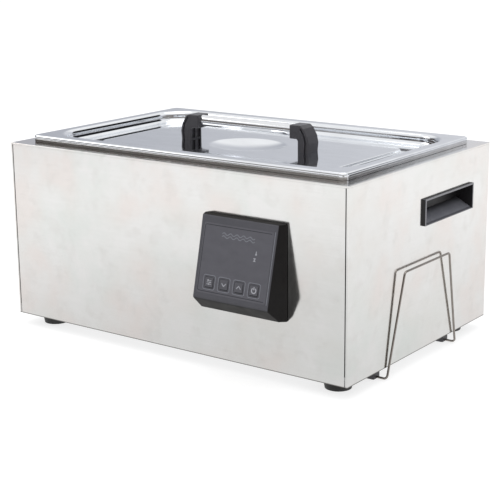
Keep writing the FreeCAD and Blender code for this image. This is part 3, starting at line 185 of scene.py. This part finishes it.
def brushed_steel(name, smear):
    """Satin sheet steel: fine grain, faint cloudy tints, and highlights smeared across the grain."""
    steel = Surface(name, Metallic=1.0, Anisotropic=0.6)
    across = [1.0, 1.0, 1.0]
    across[smear] = 0.004
    clouds = steel.noise(0.05, 3.0)
    smears = steel.noise(0.022, 4.0)
    tints = steel.noise(0.10, 1.5)
    grain = steel.noise(0.16, 3.0, across, 0.7)
    fine = steel.noise(0.05, 2.0, across, 0.7)
    base = steel.blend(steel.remap(tints, 0.38, 0.62), (0.86, 0.815, 0.79), (0.795, 0.82, 0.795))
    base = steel.blend(steel.remap(clouds, 0.35, 0.65), base, (0.87, 0.865, 0.855))
    base = steel.blend(steel.remap(smears, 0.52, 0.75, 0.0, 0.30), base, (0.70, 0.675, 0.65))
    base = steel.blend(steel.remap(grain, 0.3, 0.75, 0.0, 0.13), base, (0.55, 0.54, 0.52))
    # Painted shade: below this height the steel turns dark, a shadow line along the panels' bottom edge.
    height = add(steel.tree, "ShaderNodeSeparateXYZ", {0: steel.place}).outputs["Z"]
    base = steel.blend(steel.remap(height, BOTTOM_SHADE_TOP - 0.6 * MM, BOTTOM_SHADE_TOP + 0.3 * MM), (0.22, 0.21, 0.20), base)
    steel.set("Base Color", base)
    steel.set("Roughness", steel.remap(fine, 0.25, 0.75, 0.11, 0.17))
    steel.set("Normal", steel.bump(fine, 0.00001, 0.2))
    tangent = [0.0, 0.0, 0.0]
    tangent[smear] = 1.0
    direction = add(steel.tree, "ShaderNodeCombineXYZ", dict(enumerate(tangent)))
    steel.set("Tangent", direction.outputs[0])
    return steel.material


def polished_steel(name, colour, roughness):
    """Mirror-finished steel with faint wipe marks and hairline scratches."""
    steel = Surface(name, Metallic=1.0)
    wipes = steel.noise(0.05, 3.0, (1, 0.35, 1))
    hairs = steel.noise(0.02, 2.0, (1, 0.01, 1), 0.8)
    darker = shaded(colour, 0.93)
    steel.set("Base Color", steel.blend(steel.remap(wipes, 0.35, 0.7), colour, darker))
    steel.set("Roughness", steel.remap(wipes, 0.3, 0.7, roughness * 0.7, roughness * 1.4))
    steel.set("Normal", steel.bump(hairs, 0.000003, 0.05))
    return steel.material


def satin_metal(name, colour, roughness):
    """Drawn, turned or plated metal with handling marks and worn edges."""
    metal = Surface(name, Metallic=1.0)
    marks = metal.noise(0.006, 4.0)
    worn = metal.blend(metal.remap(marks, 0.35, 0.7), colour, shaded(colour, 0.8))
    bright = tuple(min(1.0, c * 1.25) for c in colour)
    metal.set("Base Color", metal.blend(metal.edge(0.0004), worn, bright))
    metal.set("Roughness", metal.remap(marks, 0.3, 0.7, roughness * 0.8, roughness * 1.25))
    metal.set("Normal", metal.bump(metal.noise(0.0012, 2.0), 0.00001, 0.3))
    return metal.material


def moulded(name, colour, roughness, texture=0.0007, depth=0.00003, specular=0.5):
    """Moulded plastic: a fine spark-eroded texture, slight shade changes and rubbed edges."""
    plastic = Surface(name)
    plastic.shader.inputs["Specular IOR Level"].default_value = specular
    shade = plastic.noise(0.02, 3.0)
    pits = plastic.noise(texture, 2.0)
    base = plastic.blend(plastic.remap(shade, 0.3, 0.7), colour, shaded(colour, 0.86))
    rubbed = shaded(colour, 1.35, 0.01)
    plastic.set("Base Color", plastic.blend(plastic.edge(0.0005), base, rubbed))
    plastic.set("Roughness", plastic.remap(shade, 0.3, 0.7, roughness * 0.9, roughness * 1.12))
    plastic.set("Normal", plastic.bump(pits, depth, 0.35))
    return plastic.material


def grip_plastic(name):
    """The grips' plastic: grey on the frame's outer face and on the slope that faces up, and painted shade
    elsewhere: near black on faces that don't slant up, and deep in the pocket.
    """
    plastic = Surface(name)
    normal = add(plastic.tree, "ShaderNodeTexCoord").outputs["Normal"]
    up = add(plastic.tree, "ShaderNodeSeparateXYZ", {0: normal}).outputs["Z"]
    x = add(plastic.tree, "ShaderNodeSeparateXYZ", {0: plastic.place}).outputs["X"]
    from_middle = arithmetic(plastic.tree, "SUBTRACT", x, CASING_MIDDLE)
    reach = add(plastic.tree, "ShaderNodeMath", {0: from_middle}, operation="ABSOLUTE").outputs[0]
    shade = plastic.noise(0.02, 3.0)
    slope = plastic.blend(plastic.remap(shade, 0.3, 0.7), (0.215, 0.22, 0.25), (0.185, 0.19, 0.22))
    # Near black is painted shade: it goes deep in the pocket and on every face that doesn't slant up.
    black = (0.013, 0.012, 0.014)
    slope = plastic.blend(plastic.remap(reach, POCKET_SHADE_END, SLOPE_GREY_FULL), black, slope)
    # Faces that slant up keep the lit grey; the rest take the painted shade.
    sloped = plastic.remap(up, 0.5, 0.8, smooth=True)
    level = plastic.remap(up, 0.92, 0.97, 1.0, 0.0)
    base = plastic.blend(arithmetic(plastic.tree, "MULTIPLY", sloped, level), black, slope)
    face = plastic.remap(reach, GRIP_FACE, GRIP_FACE + 0.4 * MM)
    base = plastic.blend(face, base, (0.27, 0.27, 0.29))
    plastic.set("Base Color", base)
    plastic.set("Roughness", plastic.remap(shade, 0.3, 0.7, 0.42, 0.52))
    plastic.set("Normal", plastic.bump(plastic.noise(0.0007, 2.0), 0.00003, 0.3))
    return plastic.material


def rubber(name, colour, roughness=0.7, texture=0.0012):
    """Rubber or silicone: soft sheen, dusty patches and a fine skin."""
    soft = Surface(name, Sheen_Weight=0.25, Sheen_Roughness=0.5)
    dust = soft.noise(0.015, 3.0)
    soft.set("Base Color", soft.blend(soft.remap(dust, 0.45, 0.8), colour, shaded(colour, 0.8, 0.03)))
    soft.set("Roughness", soft.remap(dust, 0.3, 0.7, roughness * 0.9, min(1.0, roughness * 1.1)))
    soft.set("Normal", soft.bump(soft.noise(texture, 2.0), 0.00004, 0.4))
    return soft.material


def felt(name, colour):
    """Glass-fibre felt: tangled fibres with a fluffy surface."""
    wool = Surface(name, Sheen_Weight=0.5, Roughness=0.95)
    fibres = wool.noise(0.004, 5.0, (3, 1, 0.4), 0.8)
    tufts = wool.noise(0.012, 3.0)
    base = wool.blend(wool.remap(fibres, 0.35, 0.7), colour, shaded(colour, 0.7))
    wool.set("Base Color", wool.blend(wool.remap(tufts, 0.3, 0.75, 0.0, 0.5), base, shaded(colour, 0.85)))
    wool.set("Normal", wool.bump(fibres, 0.0006, 0.7))
    return wool.material


def galvanised(name, colour):
    """Galvanised sheet with crystal spangle."""
    zinc = Surface(name, Metallic=0.9)
    cells = add(zinc.tree, "ShaderNodeTexVoronoi", {"Vector": zinc.place, "Scale": 120.0})
    cell = add(zinc.tree, "ShaderNodeSeparateColor", {0: cells.outputs["Color"]}).outputs[0]
    shade = zinc.remap(cell, 0.0, 1.0)
    zinc.set("Base Color", zinc.blend(shade, colour, shaded(colour, 0.78)))
    zinc.set("Roughness", zinc.remap(shade, 0.0, 1.0, 0.35, 0.55))
    zinc.set("Normal", zinc.bump(zinc.noise(0.003, 3.0), 0.00002, 0.3))
    return zinc.material


def circuit_board(name, colour):
    """Solder mask over copper tracks."""
    board = Surface(name, Coat_Weight=0.4, Coat_Roughness=0.2, Roughness=0.4)
    bricks = {"Vector": board.place, "Scale": 90.0}
    bricks.update({"Mortar Size": 0.03, "Brick Width": 0.9, "Row Height": 0.22})
    tracks = add(board.tree, "ShaderNodeTexBrick", bricks).outputs["Fac"]
    base = board.blend(tracks, colour, shaded(colour, 1.8))
    board.set("Base Color", board.blend(board.remap(board.noise(0.01), 0.4, 0.7, 0.0, 0.3), base, grey(0.02)))
    board.set("Normal", board.bump(tracks, 0.00003, 0.5))
    return board.material


def winding(name, colour):
    """Enamelled copper wire wound in layers."""
    coil = Surface(name, Metallic=1.0)
    waves = {"Vector": coil.place, "Scale": 500.0, "Distortion": 1.2, "Detail": 1.0}
    turns = add(coil.tree, "ShaderNodeTexWave", waves, bands_direction="Z").outputs["Fac"]
    coil.set("Base Color", coil.blend(turns, shaded(colour, 0.45), colour))
    coil.set("Roughness", coil.remap(turns, 0.0, 1.0, 0.5, 0.28))
    coil.set("Normal", coil.bump(turns, 0.0002, 0.8))
    return coil.material


def control_plastic(name):
    """The control unit's case, with painted light and shade by facing: satin grey on the face that looks
    forward, near black on its sides.
    """
    case = Surface(name)
    case.shader.inputs["Specular IOR Level"].default_value = 0.2
    normal = add(case.tree, "ShaderNodeTexCoord").outputs["Normal"]
    # Painted light and shade: the colour goes by which way the surface faces, grey forward and near black on
    # the sides.
    front = case.remap(dot_product(case.tree, normal, FACE_NORMAL), 0.55, 0.97, smooth=True)
    shade = case.noise(0.02, 3.0)
    face = case.blend(case.remap(shade, 0.3, 0.7), LIT_FACE_GREY, shaded(LIT_FACE_GREY, 0.9))
    base = case.blend(front, SHADED_CHEEK_BLACK, face)
    case.set("Base Color", case.blend(case.remap(case.edge(0.0006), 0, 1, 0, 0.3), base, grey(0.2)))
    case.set("Roughness", case.remap(shade, 0.3, 0.7, 0.42, 0.52))
    case.set("Normal", case.bump(case.noise(0.0007, 2.0), 0.00003, 0.35))
    return case.material


def film(name, colour):
    """Printed label film: satin, with a faint weave of fine texture and a few rub marks."""
    sheet = Surface(name, Coat_Weight=0.15, Coat_Roughness=0.35)
    sheet.shader.inputs["Specular IOR Level"].default_value = 0.4
    rubs = sheet.noise(0.02, 4.0, (1, 1, 0.5))
    sheet.set("Base Color", sheet.blend(sheet.remap(rubs, 0.35, 0.75), colour, shaded(colour, 1.12)))
    sheet.set("Roughness", sheet.remap(rubs, 0.3, 0.7, 0.38, 0.5))
    sheet.set("Normal", sheet.bump(sheet.noise(0.0005, 1.0), 0.00001, 0.3))
    return sheet.material


def ink(name, colour):
    """Printed ink with slightly uneven cover, also used for painted highlight and painted shade lines."""
    printed = Surface(name, Roughness=0.6)
    cover = printed.noise(0.0008, 2.0)
    printed.set("Base Color", printed.blend(printed.remap(cover, 0.3, 0.7), colour, shaded(colour, 0.75)))
    printed.set("Normal", printed.bump(cover, 0.00001, 0.2))
    return printed.material


SLOT_MATERIALS = {
    "brushed_casing": lambda name: brushed_steel(name, 2),
    "tank_steel": lambda name: polished_steel(name, (0.78, 0.785, 0.79), 0.13),
    "lid_steel": lambda name: polished_steel(name, (0.84, 0.86, 0.89), 0.07),
    "bar_steel": lambda name: polished_steel(name, (0.82, 0.83, 0.85), 0.09),
    "wire_steel": lambda name: satin_metal(name, (0.34, 0.31, 0.285), 0.12),
    "fastener_steel": lambda name: satin_metal(name, (0.62, 0.62, 0.63), 0.32),
    "zinc_sheet": lambda name: galvanised(name, (0.58, 0.59, 0.60)),
    "black_plastic": lambda name: moulded(name, (0.050, 0.048, 0.055), 0.36),
    "housing_plastic": control_plastic,
    "grip_plastic": grip_plastic,
    "overlay_film": lambda name: film(name, (0.108, 0.108, 0.126)),
    "key_film": lambda name: film(name, (0.100, 0.100, 0.116)),
    "display_block": lambda name: moulded(name, (0.02, 0.02, 0.02), 0.2),
    "board_green": lambda name: circuit_board(name, (0.02, 0.16, 0.06)),
    "component_black": lambda name: moulded(name, (0.04, 0.04, 0.045), 0.5),
    "foot_rubber": lambda name: rubber(name, (0.012, 0.012, 0.012)),
    "seal_silicone": lambda name: rubber(name, (0.70, 0.70, 0.68), 0.5),
    "foam_black": lambda name: rubber(name, (0.03, 0.03, 0.03), 0.9, 0.0025),
    "jacket_wool": lambda name: felt(name, (0.78, 0.72, 0.58)),
    "mat_silicone": lambda name: rubber(name, (0.55, 0.14, 0.07), 0.5),
    "pump_plastic": lambda name: moulded(name, (0.68, 0.69, 0.70), 0.4),
    "motor_steel": lambda name: satin_metal(name, (0.42, 0.43, 0.45), 0.4),
    "copper_winding": lambda name: winding(name, (0.78, 0.36, 0.16)),
    "bush_brass": lambda name: satin_metal(name, (0.72, 0.52, 0.26), 0.4),
    "impeller_plastic": lambda name: moulded(name, (0.80, 0.80, 0.77), 0.45),
    "hose_silicone": lambda name: rubber(name, (0.74, 0.74, 0.71), 0.4),
    "valve_brass": lambda name: satin_metal(name, (0.70, 0.70, 0.70), 0.25),
    "lever_red": lambda name: moulded(name, (0.50, 0.03, 0.025), 0.35),
    "pin_brass": lambda name: satin_metal(name, (0.80, 0.68, 0.42), 0.3),
    "wire_insulation": lambda name: moulded(name, (0.06, 0.06, 0.07), 0.45),
}


def dress(node, material):
    """Gives a CAD node one material."""
    mesh = frame["nodes"][node].data
    mesh.materials.clear()
    mesh.materials.append(material)


def dress_cad_nodes():
    made = {slot: build(slot) for slot, build in SLOT_MATERIALS.items()}
    for part in frame["record"]["subparts"]:
        dress(part["node"], made[part["material_slot"]])
    dress("top_deck", brushed_steel("brushed_deck", 1))


# ---------------------------------------------------------------- marks on the control face


def face_origin():
    """The middle of the label's outer surface."""
    low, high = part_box("control_overlay")
    middle = (low + high) / 2
    reach = (high.z - low.z) / 2 - LABEL_HEIGHT / 2 * MM * math.cos(FACE_TILT)
    return middle + FACE_NORMAL * reach / math.sin(FACE_TILT)


def on_face(origin, u, v, lift):
    """A point at u to the right and v up from the middle of the label, in millimetres, lifted off it."""
    return origin + (FACE_RIGHT * u + FACE_UP * v + FACE_NORMAL * lift) * MM


def offset_sides(points, half, closed):
    """The two sides of a line of that half width, with mitred corners."""
    count = len(points)
    left, right = [], []
    for i, point in enumerate(points):
        before = points[i - 1] if closed or i else None
        after = points[(i + 1) % count] if closed or i < count - 1 else None
        pairs = ((before, point), (point, after))
        ways = [(b - a).normalized() for a, b in pairs if a is not None and b is not None]
        normals = [Vector((-w.y, w.x)) for w in ways]
        mitre = sum(normals, Vector((0, 0))).normalized()
        reach = half / max(0.35, mitre.dot(normals[0]))
        left.append(point + mitre * reach)
        right.append(point - mitre * reach)
    return left, right


def stroke(mesh, place, points, width, closed):
    """Adds a line to a mesh: a thin closed ribbon that stands on the label."""
    left, right = offset_sides([Vector(p) for p in points], width / 2, closed)
    corners = ((left, 0.0), (right, 0.0), (right, INK_HEIGHT), (left, INK_HEIGHT))
    rails = [[mesh.verts.new(place(p.x, p.y, h)) for p in side] for side, h in corners]
    count = len(points)
    for i in range(count if closed else count - 1):
        j = (i + 1) % count
        for a in range(4):
            b = (a + 1) % 4
            mesh.faces.new((rails[a][i], rails[b][i], rails[b][j], rails[a][j]))
    if not closed:
        mesh.faces.new([rail[0] for rail in reversed(rails)])
        mesh.faces.new([rail[-1] for rail in rails])


def circle(radius, start=0.0, sweep=360.0, x=0.0, y=0.0, steps=28):
    """Points round an arc. A full circle doesn't repeat its first point."""
    last = steps if sweep >= 360 else steps - 1
    angles = [math.radians(start + sweep * i / last) for i in range(steps)]
    return [(x + radius * math.cos(a), y + radius * math.sin(a)) for a in angles]


def rounded_square(half, corner, x=0.0, y=0.0):
    """The outline of a square with round corners."""
    points = []
    for quarter, (sx, sy) in enumerate(((1, 1), (-1, 1), (-1, -1), (1, -1))):
        centre = (x + sx * (half - corner), y + sy * (half - corner))
        points += circle(corner, 90 * quarter, 90, *centre, steps=6)
    return points


def wave(x0, x1, y, height, turns, steps=40):
    """A sine wave between two places."""
    xs = [x0 + (x1 - x0) * i / (steps - 1) for i in range(steps)]
    return [(x, y + height * math.sin(2 * math.pi * turns * (x - x0) / (x1 - x0))) for x in xs]


def marks(name, place, lines, material, slot, body):
    """One piece made of lines drawn on the face, print and painted light and shade alike: each line is
    (points, width, closed).
    """
    mesh = bmesh.new()
    for points, width, closed in lines:
        stroke(mesh, place, points, width, closed)
    bmesh.ops.recalc_face_normals(mesh, faces=mesh.faces)
    data = bpy.data.meshes.new(name)
    mesh.to_mesh(data)
    mesh.free()
    data.materials.append(material)
    piece = bpy.data.objects.new(name, data)
    scene.collection.objects.link(piece)
    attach(piece, body)


def key_symbol(node, u, v):
    """The lines of one key's symbol."""
    if node == "mode_key":
        bars = [([(u - 3.6, v + y), (u + 3.6, v + y)], 0.6, False) for y in (2.4, 0, -2.4)]
        places = ((-1.5, 2.4), (1.8, 0), (-0.4, -2.4))
        return bars + [(circle(0.8, x=u + x, y=v + y, steps=12), 0.7, True) for x, y in places]
    if node == "down_key":
        return [([(u - 3.4, v + 1.7), (u, v - 1.9), (u + 3.4, v + 1.7)], 1.0, False)]
    if node == "up_key":
        return [([(u - 3.4, v - 1.7), (u, v + 1.9), (u + 3.4, v - 1.7)], 1.0, False)]
    return [(circle(3.3, 125, 290, u, v), 1.4, False), ([(u, v + 4.6), (u, v + 0.8)], 1.3, False)]


def label_marks():
    """The lines of the label: its border, open on the right, a painted highlight along the face's right edge,
    the wave emblem and the two display symbols.
    """
    x, y, corner = BORDER_HALF_X, BORDER_HALF_Y, BORDER_CORNER
    border = [(x - 1, y), *circle(corner, 90, 90, corner - x, y - corner, steps=6)]
    border += [*circle(corner, 180, 90, corner - x, corner - y, steps=6), (x - 1, -y)]
    waves = [(wave(-24, 27, 31.5 + dy, 1.5, 5), 0.95, False) for dy in (-1.9, 1.9)]
    bulb = circle(0.85, x=31.5, y=14.4, steps=14)
    thermometer = [([(31.5, 18.2), (31.5, 15.4)], 1.1, False), (bulb, 0.9, True)]
    hourglass = [([(28.8, 9.2), (31.4, 9.2), (28.8, 5.6), (31.4, 5.6)], 0.75, True)]
    return {
        "label_border": ([(border, 0.7, False)], "dark"),
        # A pale line that stands for the light on the face's right edge: painted highlight.
        "edge_highlight": ([([(EDGE_HIGHLIGHT_U, y + 3), (EDGE_HIGHLIGHT_U, -y - 3)], 0.8, False)], "light"),
        "wave_emblem": (waves, "light"),
        "display_marks": (thermometer + hourglass, "bright"),
    }


def face_marks():
    """Everything that is printed on the control face, all of it generic, and the painted light and shade
    drawn in ink with it: a pale highlight line on the face's right edge and dark shade lines round the keys.
    """
    origin = face_origin()
    inks = {
        "light": ink("pale_ink_and_painted_highlight", (0.27, 0.28, 0.32)),
        "bright": ink("bright_ink", (0.52, 0.53, 0.58)),
        "dark": ink("dark_ink_and_painted_shade", (0.022, 0.022, 0.028)),
    }
    key_rise = key_face_height(origin)

    def on_label(u, v, lift):
        return on_face(origin, u, v, lift)

    def on_key(u, v, lift):
        return on_face(origin, u, v, lift + key_rise)

    for name, (lines, shade) in label_marks().items():
        marks(name, on_label, lines, inks[shade], "overlay_film", "casing")
    for node, u in KEYS.items():
        outline = [(rounded_square(9.2, 2.6, u, KEY_ROW), 0.75, True)]
        marks(f"{node}_outline", on_label, outline, inks["light"], "overlay_film", "casing")
        # Painted shade round each key: a thin dark ring, thicker on its right and bottom, standing for the
        # shading at the key's edge.
        low, right = KEY_ROW - 6.4, u + 6.4
        shade = [(rounded_square(6.7, 1.8, u, KEY_ROW), 0.4, True)]
        shade.append(([(right, KEY_ROW + 5), (right, low), (u - 5, low)], 1.0, False))
        marks(f"{node}_shade", on_key, shade, inks["dark"], "key_film", node)
        marks(f"{node}_symbol", on_key, key_symbol(node, u, KEY_ROW), inks["bright"], "key_film", node)


def key_face_height(origin):
    """How far the keys' flat tops stand off the label, in millimetres."""
    mesh = frame["nodes"]["mode_key"].data
    return max((v.co - origin).dot(FACE_NORMAL) for v in mesh.vertices) / MM


# ---------------------------------------------------------------- studio


def lobe(tree, direction, inner, outer):
    """1 within inner degrees of a direction, fading to 0 at outer degrees."""
    looking = add(tree, "ShaderNodeTexCoord").outputs["Generated"]
    towards = Vector(direction).normalized()
    near = dot_product(tree, looking, towards)
    return remap(tree, near, math.cos(math.radians(outer)), math.cos(math.radians(inner)), smooth=True)


def studio_world():
    """A room for reflections, white to the camera: grey behind, white overhead, dark low in front."""
    world = bpy.data.worlds.new("studio")
    world.use_nodes = True
    scene.world = world
    tree = world.node_tree
    looking = add(tree, "ShaderNodeSeparateXYZ", {0: add(tree, "ShaderNodeTexCoord").outputs["Generated"]})
    x, y, z = (looking.outputs[axis] for axis in "XYZ")
    behind = blend(tree, remap(tree, x, -0.74, -0.42), (0.44, 0.455, 0.50), (0.71, 0.72, 0.755))
    room = blend(tree, remap(tree, z, 0.30, 0.60, smooth=True), behind, (1.0, 1.0, 1.0))
    front = blend(tree, remap(tree, x, -0.72, -0.42), (0.075, 0.065, 0.060), (0.27, 0.25, 0.235))
    low = remap(tree, z, 0.47, 0.30, smooth=True)
    ahead = remap(tree, y, 0.42, 0.05, smooth=True)
    room = blend(tree, arithmetic(tree, "MULTIPLY", low, ahead), room, front)
    for direction in PATCHES:
        room = blend(tree, lobe(tree, direction, PATCH_CORE, PATCH_EDGE), room, (0.02, 0.02, 0.022))
    by_camera = add(tree, "ShaderNodeLightPath").outputs["Is Camera Ray"]
    room = blend(tree, by_camera, room, (1.0, 1.0, 1.0))
    background = tree.nodes["Background"]
    tree.links.new(room, background.inputs["Color"])
    background.inputs["Strength"].default_value = 1.0


def softbox(name, place, target, width, height, brightness, colour=(1, 1, 1)):
    """A rectangular light of that brightness, the radiance of its surface, aimed at a point."""
    light = bpy.data.lights.new(name, "AREA")
    light.shape = "RECTANGLE"
    light.size = width
    light.size_y = height
    light.energy = brightness * math.pi * width * height
    light.color = colour
    lamp = bpy.data.objects.new(name, light)
    lamp.location = place
    lamp.rotation_mode = "QUATERNION"
    lamp.rotation_quaternion = (Vector(target) - Vector(place)).to_track_quat("-Z", "Y")
    scene.collection.objects.link(lamp)


def floor():
    """A pale floor that reads as white paper, and that darkens towards the object in reflections."""
    size = 40.0
    mesh = bmesh.new()
    bmesh.ops.create_grid(mesh, x_segments=8, y_segments=8, size=size)
    data = bpy.data.meshes.new("studio_floor")
    mesh.to_mesh(data)
    mesh.free()
    paper = bpy.data.materials.new("floor_paper")
    paper.use_nodes = True
    tree = paper.node_tree
    place = add(tree, "ShaderNodeTexCoord").outputs["Object"]
    away = add(tree, "ShaderNodeVectorMath", {0: place}, operation="LENGTH").outputs["Value"]
    from_patch = vector_math(tree, "SUBTRACT", place, (0.15, -0.45, 0.0))
    patch = add(tree, "ShaderNodeVectorMath", {0: from_patch}, operation="LENGTH").outputs["Value"]
    sideways = add(tree, "ShaderNodeSeparateXYZ", {0: place}).outputs["X"]
    reflected = remap(tree, away, 0.25, 1.25, 0.82, 1.03)
    near_front = remap(tree, patch, 0.15, 0.75, 0.88, 1.0, smooth=True)
    far_left = remap(tree, sideways, -1.8, -0.9, 0.84, 1.0)
    for shade in (near_front, far_left):
        reflected = arithmetic(tree, "MULTIPLY", reflected, shade)
    tree.nodes.remove(tree.nodes["Principled BSDF"])
    glow = add(tree, "ShaderNodeEmission", {"Color": rgba(grey(1.0)), "Strength": reflected}).outputs[0]
    diffuse = add(tree, "ShaderNodeBsdfDiffuse", {"Color": rgba(grey(0.42))}).outputs[0]
    lit = add(tree, "ShaderNodeEmission", {"Color": rgba(grey(1.0)), "Strength": 0.72}).outputs[0]
    seen = add(tree, "ShaderNodeAddShader", {0: diffuse, 1: lit}).outputs[0]
    by_camera = add(tree, "ShaderNodeLightPath").outputs["Is Camera Ray"]
    both = add(tree, "ShaderNodeMixShader", {0: by_camera, 1: glow, 2: seen}).outputs[0]
    tree.links.new(both, tree.nodes["Material Output"].inputs["Surface"])
    data.materials.append(paper)
    ground = bpy.data.objects.new("studio_floor", data)
    ground.location.z = -0.0002
    scene.collection.objects.link(ground)


def camera():
    """The viewpoint: right of the front, a little above, with a long lens."""
    azimuth, elevation, roll = (
        math.radians(a) for a in (CAMERA_AZIMUTH, CAMERA_ELEVATION, CAMERA_ROLL)
    )
    flat = math.cos(elevation)
    back = Vector((math.sin(azimuth) * flat, -math.cos(azimuth) * flat, math.sin(elevation)))
    data = bpy.data.cameras.new("studio_camera")
    data.sensor_width = SENSOR_WIDTH
    data.lens = CAMERA_LENS
    data.clip_end = 200
    eye = bpy.data.objects.new("studio_camera", data)
    eye.rotation_mode = "QUATERNION"
    eye.rotation_quaternion = (-back).to_track_quat("-Z", "Y") @ Quaternion((0, 0, 1), roll)
    eye.location = CAMERA_PLACE
    scene.collection.objects.link(eye)
    scene.camera = eye


def studio():
    scene.view_settings.view_transform = "Standard"
    studio_world()
    softbox("overhead", (0.1, 0.1, 2.1), (0, 0, 0.2), 1.8, 1.4, 1.6)
    softbox("front_left", (-2.4, -1.2, 1.9), (0, 0, 0.15), 1.3, 1.3, 1.9, (1.0, 0.985, 0.965))
    floor()
    camera()


dress_cad_nodes()
face_marks()
studio()
